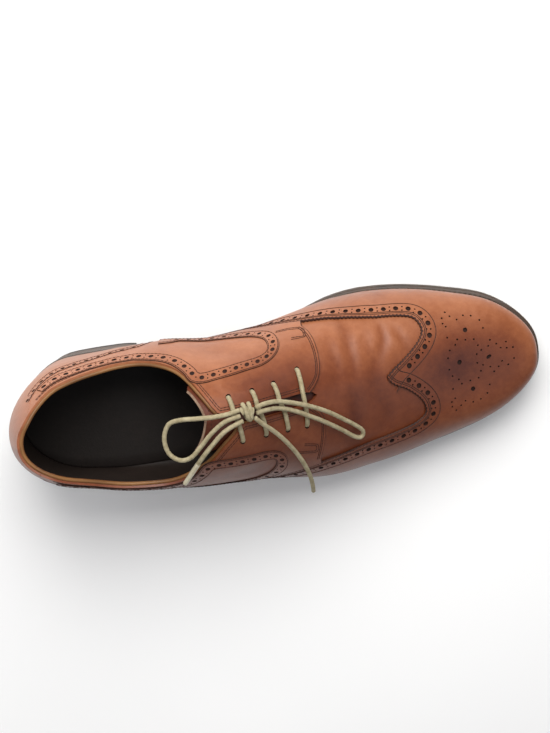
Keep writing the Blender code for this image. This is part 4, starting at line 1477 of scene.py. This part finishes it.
def build_quarters():
    """Quarters with eyelets, brogued bands, rows of stitches and bar tacks."""
    for s in (1, -1):
        rear = shifted(s, counter_edge(s), -0.0002)
        rear[0] = (rear[0][0], SKIN_LOW)
        rear[-1] = (rear[-1][0], collar_turn(s, rear[-1][0]))
        front = spline(side_columns(QUARTER_FRONT, s), 4)
        top = opening_line(s, rear[-1][0], front[0][0], 80)[1:-1]
        above = shifted(s, wing_edge(s), 0.0006)
        below = [p for p in above if p[0] < front[-1][0]]
        corner = above[len(below)]
        share = (front[-1][0] - below[-1][0]) / (corner[0] - below[-1][0])
        meet = (front[-1][0], below[-1][1] + share * (corner[1] - below[-1][1]))
        below[0] = (below[0][0], SKIN_LOW)
        border = rear + top + front + [meet] + below[::-1]
        eyes = rings_at(s, side_columns(EYELETS, s), EYELET_BORE, EYELET_CORNERS)
        obj = panel(f"quarter_skin_{NAMES[s]}", {s: border}, {s: eyes}, 0.0, HIGH, SKINS, through=True)
        finish_piece(obj, "tan_leather", f"quarter_{NAMES[s]}")
        line = spline(side_columns(BAND_LINE, s), 4)
        line += [(a, collar_turn(s, a) - drop) for a, drop in BAND_TAIL]
        half = BAND_WIDTH / 2 + 0.0009
        left = shifted(s, line, half)
        right = shifted(s, line, -half)
        row_high = HIGH + 0.0006
        holes = brogue_row(s, line, 0.0067, big=0.0029, small=0.0010, spread=0.0013)
        low = HIGH - 0.0004
        band = panel(f"band_skin_{NAMES[s]}", {s: left + right[::-1]}, {s: holes}, low, row_high, SKINS,
                     hole_depth=0.0005)
        finish_piece(band, "tan_leather", f"band_{NAMES[s]}")
        for offset in (half - 0.0006, -half + 0.0006):
            seam(s, shifted(s, line, offset), row_high, 0.00010, 0.00026)
        # Dark lines along the band's edges: burnished channels and painted shade at the edges
        for edge_side in (left, right):
            lines.append((s, resample(s, edge_side, GROOVE_STEP), HIGH, 0.00030))
        for inset in (0.0013, 0.0023):
            seam(s, shifted(s, front + [meet], -inset)[:-1], HIGH, 0.00010, 0.00026)
        # A dark line under the quarter's front edge: its dark cut edge and painted shadow
        lines.append((s, resample(s, front + [meet], GROOVE_STEP), HIGH - EDGE_DROP, 0.0006))
        edge = opening_line(s, 0.11, 0.53, 60)
        for inset in (0.0016, 0.0027):
            seam(s, shifted(s, edge, -inset), HIGH, 0.00012, 0.00022)
        for inset in (0.0, 0.0013):
            seam(s, shifted(s, side_columns(TACKS, s), inset), HIGH, 0.00010, 0.00028, 0.0019)


def build_rim():
    """The rolled golden edge round the collar and down both facings."""
    back = np.linspace(RIM_END, 0.0, 150)
    places = [(1, a, collar_turn(1, a)) for a in back]
    places += [(-1, a, collar_turn(-1, a)) for a in back[-2::-1]]
    side, along, turn = np.array(places).T
    inner = skin(side, along, turn, -WALL)
    outer = skin(side, along, turn, 0.0005)
    middle = (inner + outer) / 2
    way = unit(np.gradient(middle, axis=0))
    thick = np.linalg.norm(outer - inner, axis=1)
    up = unit(outer - inner)
    over = np.cross(way, up)
    # Away from the solid leather: towards a point over the foot's opening
    over *= np.sign((over * (np.array([0.02, 0.0, 0.3]) - inner)).sum(axis=1))[:, None]
    corners = 14
    wide = 0.0010 * np.clip((RIM_END - along) / 0.09, 0.1, 1)
    shrink = np.clip((RIM_END - along) / 0.03, 0.3, 1)
    points = []
    for x, y in circle(corners):
        reach = (thick / 2 - 0.0002) * y * shrink - 0.0001
        points.append(middle + up * reach[:, None] + over * (wide * x)[:, None])
    points = np.array(points).transpose(1, 0, 2).reshape(-1, 3)
    faces = tube_faces(0, len(places), corners)
    obj = new_object("collar_rim", points, faces, [rim_leather], angle=80)
    set_tone(obj, np.repeat(0.45 + 0.12 * np.sin(along * 60), corners))
    finish_piece(mended(obj), "tan_leather")


def build_tongue():
    """The tongue with a pale edge, under the facings."""
    left, right = (spline([(row[0], row[c]) for row in TONGUE_SIDES], 6) for c in (1, 2))
    under = -WALL - TONGUE_EASE
    border = left + over_ridge(right)[::-1]
    end, high_turn = border[-1]
    top = []
    for share in np.arange(25) / 24:
        dip = 0.024 * math.sin(math.pi * share) ** 0.8
        top.append((end + dip, high_turn + (border[0][1] - high_turn) * share))
    border += top[1:-1]
    # The tongue's tone is lowered by 0.30: painted shade, as it lies in shadow between the facings
    obj = panel("tongue_skin", {1: border}, {}, under - TONGUE_THICK, under, [tan, lining, hole_shade_and_edge],
                through=True, painted_shade=0.30)
    finish_piece(obj, "tan_leather", "tongue")
    halves = ((1, [p for p in top if p[1] <= 90]), (-1, over_ridge([p for p in top if p[1] >= 90])))
    half = TONGUE_THICK / 2
    pale = [(s, line, under - half, half + 0.0001) for s, line in halves]
    finish_piece(edge_lines("tongue_edge", pale, pale_edge), "tan_leather")
    for s, line in halves:
        rows.append((s, [(a + 0.008, t) for a, t in line], under, STITCH_PITCH))


def ring_object(name, chain, used, slot_name, node, count=180):
    """A closed ring swept round the shoe: the chain is one closed section."""
    medial, lateral = (plan_chain(s, np.linspace(0, 1, count), chain) for s in (1, -1))
    loops = np.concatenate([medial, lateral[-2:0:-1]])
    levels = len(chain)
    faces = []
    for i in range(len(loops)):
        a = i * levels
        b = (i + 1) % len(loops) * levels
        for j in range(levels):
            k = (j + 1) % levels
            faces.append([b + j, a + j, a + k, b + k])
    obj = new_object(name, loops.reshape(-1, 3), faces, used)
    return finish_piece(obj, slot_name, node)


def slab(name, chain, used, slot_name, node, ends=None, parts=150, dish=0.0):
    """A plate under the foot with fine edges, filled across below and above."""
    ends = ends or {1: 1.0, -1: 1.0}
    sides = [plan_chain(s, np.linspace(0, ends[s], parts + 1), chain) for s in (1, -1)]
    across = 10
    shares = [k / across for k in range(1, across)]
    points = []
    for i, (medial, lateral) in enumerate(zip(*sides)):
        points += list(medial)
        for s in shares:
            mid = medial[-1] * (1 - s) + lateral[-1] * s
            mid[2] -= dish * math.sin(math.pi * s) ** 2 * math.sin(math.pi * i / parts)
            points.append(mid)
        points += list(lateral[::-1])
        points += [lateral[0] * (1 - s) + medial[0] * s for s in shares]
    size = len(points) // (parts + 1)
    under = 2 * len(chain) + across - 2
    faces = []
    picks = []
    for a in range(0, parts * size, size):
        for j in range(size):
            k = (j + 1) % size
            faces.append([a + k, a + j, a + size + j, a + size + k])
            picks.append(1 if j >= under else 0)
    faces.append(list(range(size)))
    faces.append([parts * size + j for j in reversed(range(size))])
    obj = new_object(name, points, faces, used, picks + [0, 0])
    return finish_piece(mended(obj, weld=True), slot_name, node)


def build_bottom():
    """Outsole, welt, stacked heel, top lift and sock."""
    r = SOLE_ROUND
    ease = r * 0.3
    sole = [
        ("edge", r + 0.0006, "sole", 0.0),
        ("edge", ease, "sole", ease),
        ("edge", 0.0, "sole", r),
        ("edge", 0.0, "sole", SOLE_THICK - r),
        ("edge", ease, "sole", SOLE_THICK - ease),
        ("edge", r, "sole", SOLE_THICK),
    ]
    slab("outsole_skin", sole, [sole_edge, sole_under], "dark_sole_edge", "outsole")
    low = SOLE_THICK
    high = SOLE_THICK + GAP + WELT_THICK
    welt = [
        ("edge", 0.0008, "sole", low),
        ("edge", 0.0003, "sole", low + 0.0006),
        ("edge", 0.0002, "sole", high - 0.0009),
        ("edge", 0.0005, "sole", high - 0.0003),
        ("edge", 0.0011, "sole", high),
        ("feather", WELT_UNDER, "sole", high + GAP),
        ("feather", WELT_UNDER, "sole", low),
    ]
    ring_object("welt_skin", welt, [sole_edge], "dark_sole_edge", "welt")
    ends = {s: along_at(s, HEEL_LENGTH) for s in (1, -1)}
    lift = [
        ("edge", HEEL_TAPER + r, "floor", 0.0),
        ("edge", HEEL_TAPER + ease, "floor", ease),
        ("edge", HEEL_TAPER, "floor", r),
        ("edge", HEEL_TAPER, "floor", TOP_LIFT_THICK),
    ]
    slab("top_lift_skin", lift, [rubber, rubber], "heel_rubber", "top_lift", ends, 60)
    build_stack(ends)
    step = SOLE_THICK + 2 * GAP + WELT_THICK
    sock = [
        ("feather", WALL + 0.0003, "sole", SOLE_THICK + GAP),
        ("feather", WALL + 0.0003, "sole", step + INSOLE_THICK - 0.0004),
        ("feather", WALL + 0.0009, "sole", step + INSOLE_THICK),
    ]
    slab("sock_lining", sock, [lining, lining], "dark_lining", "insole", dish=0.0006)


def build_stack(ends):
    """The stacked heel's layers, between the top lift and the outsole's underside."""
    stack = [("edge", HEEL_TAPER, "floor", TOP_LIFT_THICK)]
    layers = 5
    for n in range(1, layers):
        share = n / layers
        inset = HEEL_TAPER * (1 - share / 2)
        stack.append(("edge", inset, "mix", share - 0.012))
        stack.append(("edge", inset + 0.00025, "mix", share))
        stack.append(("edge", inset, "mix", share + 0.012))
    stack.append(("edge", HEEL_TAPER / 2, "mix", 1.0))
    parts = 60
    sides = [plan_chain(s, np.linspace(0, ends[s], parts + 1), stack) for s in (1, -1)]
    levels = len(stack)
    top = levels - 1
    points = np.concatenate([side.reshape(-1, 3) for side in sides])
    other = (parts + 1) * levels
    faces = []
    for i in range(parts):
        a = i * levels
        b = a + levels
        for j in range(top):
            faces.append([b + j, a + j, a + j + 1, b + j + 1])
            faces.append([other + a + j, other + b + j, other + b + j + 1, other + a + j + 1])
        faces.append([a, b, other + b, other + a])
        faces.append([b + top, a + top, other + a + top, other + b + top])
    a = parts * levels
    front = [a + j for j in range(levels)]
    faces.append(front + [other + j for j in reversed(front)])
    obj = new_object("heel_stack_skin", points, faces, [stack_side])
    finish_piece(mended(obj, weld=True), "stacked_heel", "heel_stack")


def build_welt_stitches():
    """The welt's row of stitches, from the heel round the toe."""
    # Each ring of a stitch: how far along, its size and how deep it sinks
    rings = ((-0.0011, 0.4, -0.0003), (-0.0007, 1, 0.0), (0.0007, 1, 0.0), (0.0011, 0.4, -0.0003))
    points = []
    faces = []
    for s in (1, -1):
        start = 0.12
        length = DENSE[s][2][-1] * (1 - start)
        count = round(length / 0.0031)
        along = start + (1 - start) * (np.arange(count) + 0.5) / count
        edge, normal = outline(s, along)
        share = edge[:, 0] / SHOE_LENGTH
        gap = WELT_WIDTH * smooth_table(FORM, 1 if s > 0 else 2, share)
        inset = 0.0009 + np.clip(gap - 0.002, 0, 0.02) * 0.45
        middle = edge - normal * inset[:, None]
        way = np.stack([normal[:, 1], -normal[:, 0]], 1)
        top = bottom(middle[:, 0]) + SOLE_THICK + GAP + WELT_THICK + 0.0001
        for m, w, n, z in zip(middle, way, normal, top):
            faces += tube_faces(len(points), len(rings), 6)
            for at, size, drop in rings:
                for x, y in circle(6):
                    flat = m + w * at + n * 0.00038 * size * x
                    height = z + drop + 0.00022 * size * y
                    points.append((flat[0] - HEEL_LENGTH / 2, flat[1], height))
    obj = new_object("welt_stitches", points, faces, [welt_thread], angle=60)
    finish_piece(obj, "dark_sole_edge")


def build_bars():
    """The lace's bars across the facings, down into the eyelets."""
    side_high = HIGH + LACE_THICK * 0.3
    crown = HIGH + LACE_THICK * 0.5 + 0.0006
    for number, (am, tm, al, tl) in enumerate(EYELETS, 1):
        middle = (am + al) / 2
        stops = [
            (1, am - 0.002, tm - 1.2, -0.0042),
            (1, am, tm, -0.0008),
            (1, am, tm + 1.6, side_high),
            (1, am + (middle - am) * 0.3, tm + (90 - tm) * 0.35, crown),
            (1, (am + middle) / 2, (tm + 90) / 2 + 4, crown),
            (1, middle, 89.9, crown),
            (-1, (al + middle) / 2, (tl + 90) / 2 + 3, crown),
            (-1, al, tl + 2.4, HIGH + LACE_THICK * 0.34),
            (-1, al, tl, -0.0008),
            (-1, al - 0.002, tl - 1.2, -0.0042),
        ]
        route = [tuple(on_last(s, [a], [t], h)[0]) for s, a, t, h in stops]
        obj, _ = cord_mesh(f"bar_{number}", route, LACE_THICK, lace_skin)
        finish_piece(obj, "beige_lace", f"lace_bar_{number}")


def build_lace():
    """The knot, its loops and its ends."""
    build_bars()

    def at_knot(route):
        return [tuple(np.array(KNOT_AT) + np.array(p)) for p in route]

    wraps = []
    for n, route in enumerate(KNOT_WRAPS, 1):
        obj, _ = cord_mesh(f"knot_wrap_{n}", at_knot(route), LACE_THICK * 0.92, lace_skin)
        wraps.append(finish_piece(obj, "beige_lace"))
    core, _ = cord_mesh("knot_core", at_knot(KNOT_CORE), LACE_THICK * 1.9, lace_skin)
    finish_piece(core, "beige_lace", "lace_knot")
    before, end = evenly(END_1, LACE_THICK / 2)[-2:]
    way = (end - before) / np.linalg.norm(end - before)
    reaches = (-0.0006, TIP_LENGTH * 0.5, GAP + TIP_LENGTH)
    tip, _ = cord_mesh("aglet", [tuple(end + way * r) for r in reaches], TIP_THICK, tip_skin,
                       taper=lambda s: 1 - 0.12 * max(s - 0.9, 0) * 10, bulge=0.012)
    finish_piece(tip, "clear_tip", "lace_tip_1")
    knot = [core] + wraps
    cords = (
        ("loop_1", LOOP_1, "knot", knot),
        ("loop_2", LOOP_2, "knot", knot),
        ("end_1", END_1, "fitting", [tip]),
        ("end_2", END_2, "bare", []),
    )
    for name, route, far, going in cords:
        obj, path = cord_mesh(name, route, LACE_THICK, lace_skin)
        finish_piece(obj, "beige_lace", f"lace_{name}")
        steps = np.linalg.norm(np.diff(evenly(route, 0.0005), axis=0), axis=1)
        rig.cord(obj, exit=route[0], length=round(float(steps.sum()), 4), diameter=LACE_THICK, far_end=far,
                stiffness="limp", lay="loose", path=path, with_pieces=going)


def build_floor():
    """A pale floor, which isn't part of the shoe."""
    size = 3.0
    corners = [(-size, -size, 0), (size, -size, 0), (size, size, 0), (-size, size, 0)]
    made, shader, add, link = nodes_of("pale_floor")
    cloud = add("TexNoise", (add("TexCoord"), "Object"), Scale=3.0, Detail=3.0)
    colours = ramp(add, [(0.3, (0.90, 0.90, 0.90)), (0.7, (0.95, 0.95, 0.95))])
    link(cloud, "Fac", colours, "Fac")
    link(colours, "Color", shader, "Base Color")
    shader.inputs["Roughness"].default_value = 0.6
    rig.stage(new_object("floor", corners, [[0, 1, 2, 3]], [made]))


def build_lights():
    """Soft studio light from three sides and a dim, slightly blue surrounding."""
    for name, place, target, wide, power, colour in LAMPS:
        data = bpy.data.lights.new(name, "AREA")
        data.shape = "SQUARE"
        data.size = wide
        data.energy = power
        data.color = colour
        lamp = bpy.data.objects.new(name, data)
        lamp.location = place
        lamp.rotation_euler = (Vector(target) - Vector(place)).to_track_quat("-Z", "Y").to_euler()
        bpy.context.scene.collection.objects.link(lamp)
    world = bpy.data.worlds.new("studio")
    world.use_nodes = True
    backdrop = world.node_tree.nodes["Background"]
    backdrop.inputs["Color"].default_value = (0.93, 0.95, 1.0, 1)
    backdrop.inputs["Strength"].default_value = 0.20
    bpy.context.scene.world = world
    bpy.context.scene.view_settings.view_transform = "Standard"


def build_camera():
    """The photo's camera: straight down, then turned by CAMERA_TURN, x of its place from the heel."""
    data = bpy.data.cameras.new("photo_camera")
    camera = bpy.data.objects.new("photo_camera", data)
    bpy.context.scene.collection.objects.link(camera)
    turn = Vector(CAMERA_TURN)
    turning = Matrix.Rotation(turn.length, 3, turn.normalized())
    right, down, forward = turning @ Matrix(((1, 0, 0), (0, -1, 0), (0, 0, -1)))
    placed = Matrix((right, -down, -forward)).transposed().to_4x4()
    placed.translation = Vector(CAMERA_AT) - Vector((HEEL_LENGTH / 2, 0.0, 0.0))
    camera.matrix_world = placed
    data.sensor_width = FILM_WIDTH
    data.sensor_fit = "AUTO"
    data.lens = FOCAL_PIXELS * FILM_WIDTH / PHOTO_HEIGHT
    data.clip_start = 0.01
    bpy.context.scene.camera = camera


for job in (build_floor, build_lights, build_camera, build_lace, build_vamp, build_wing, build_counter,
            build_quarters, build_rim, build_tongue, build_bottom, build_welt_stitches):
    job()
finish_piece(stitches("seam_stitches", rows, thread), "tan_leather")
finish_piece(edge_lines("seam_lines", lines, cut_edge_and_painted_shadow), "tan_leather")
boxes = {"cad": cad_box, "visual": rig.bounds()}
with open("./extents.json", "w") as out:
    json.dump({name: [list(map(float, corner)) for corner in box] for name, box in boxes.items()}, out)
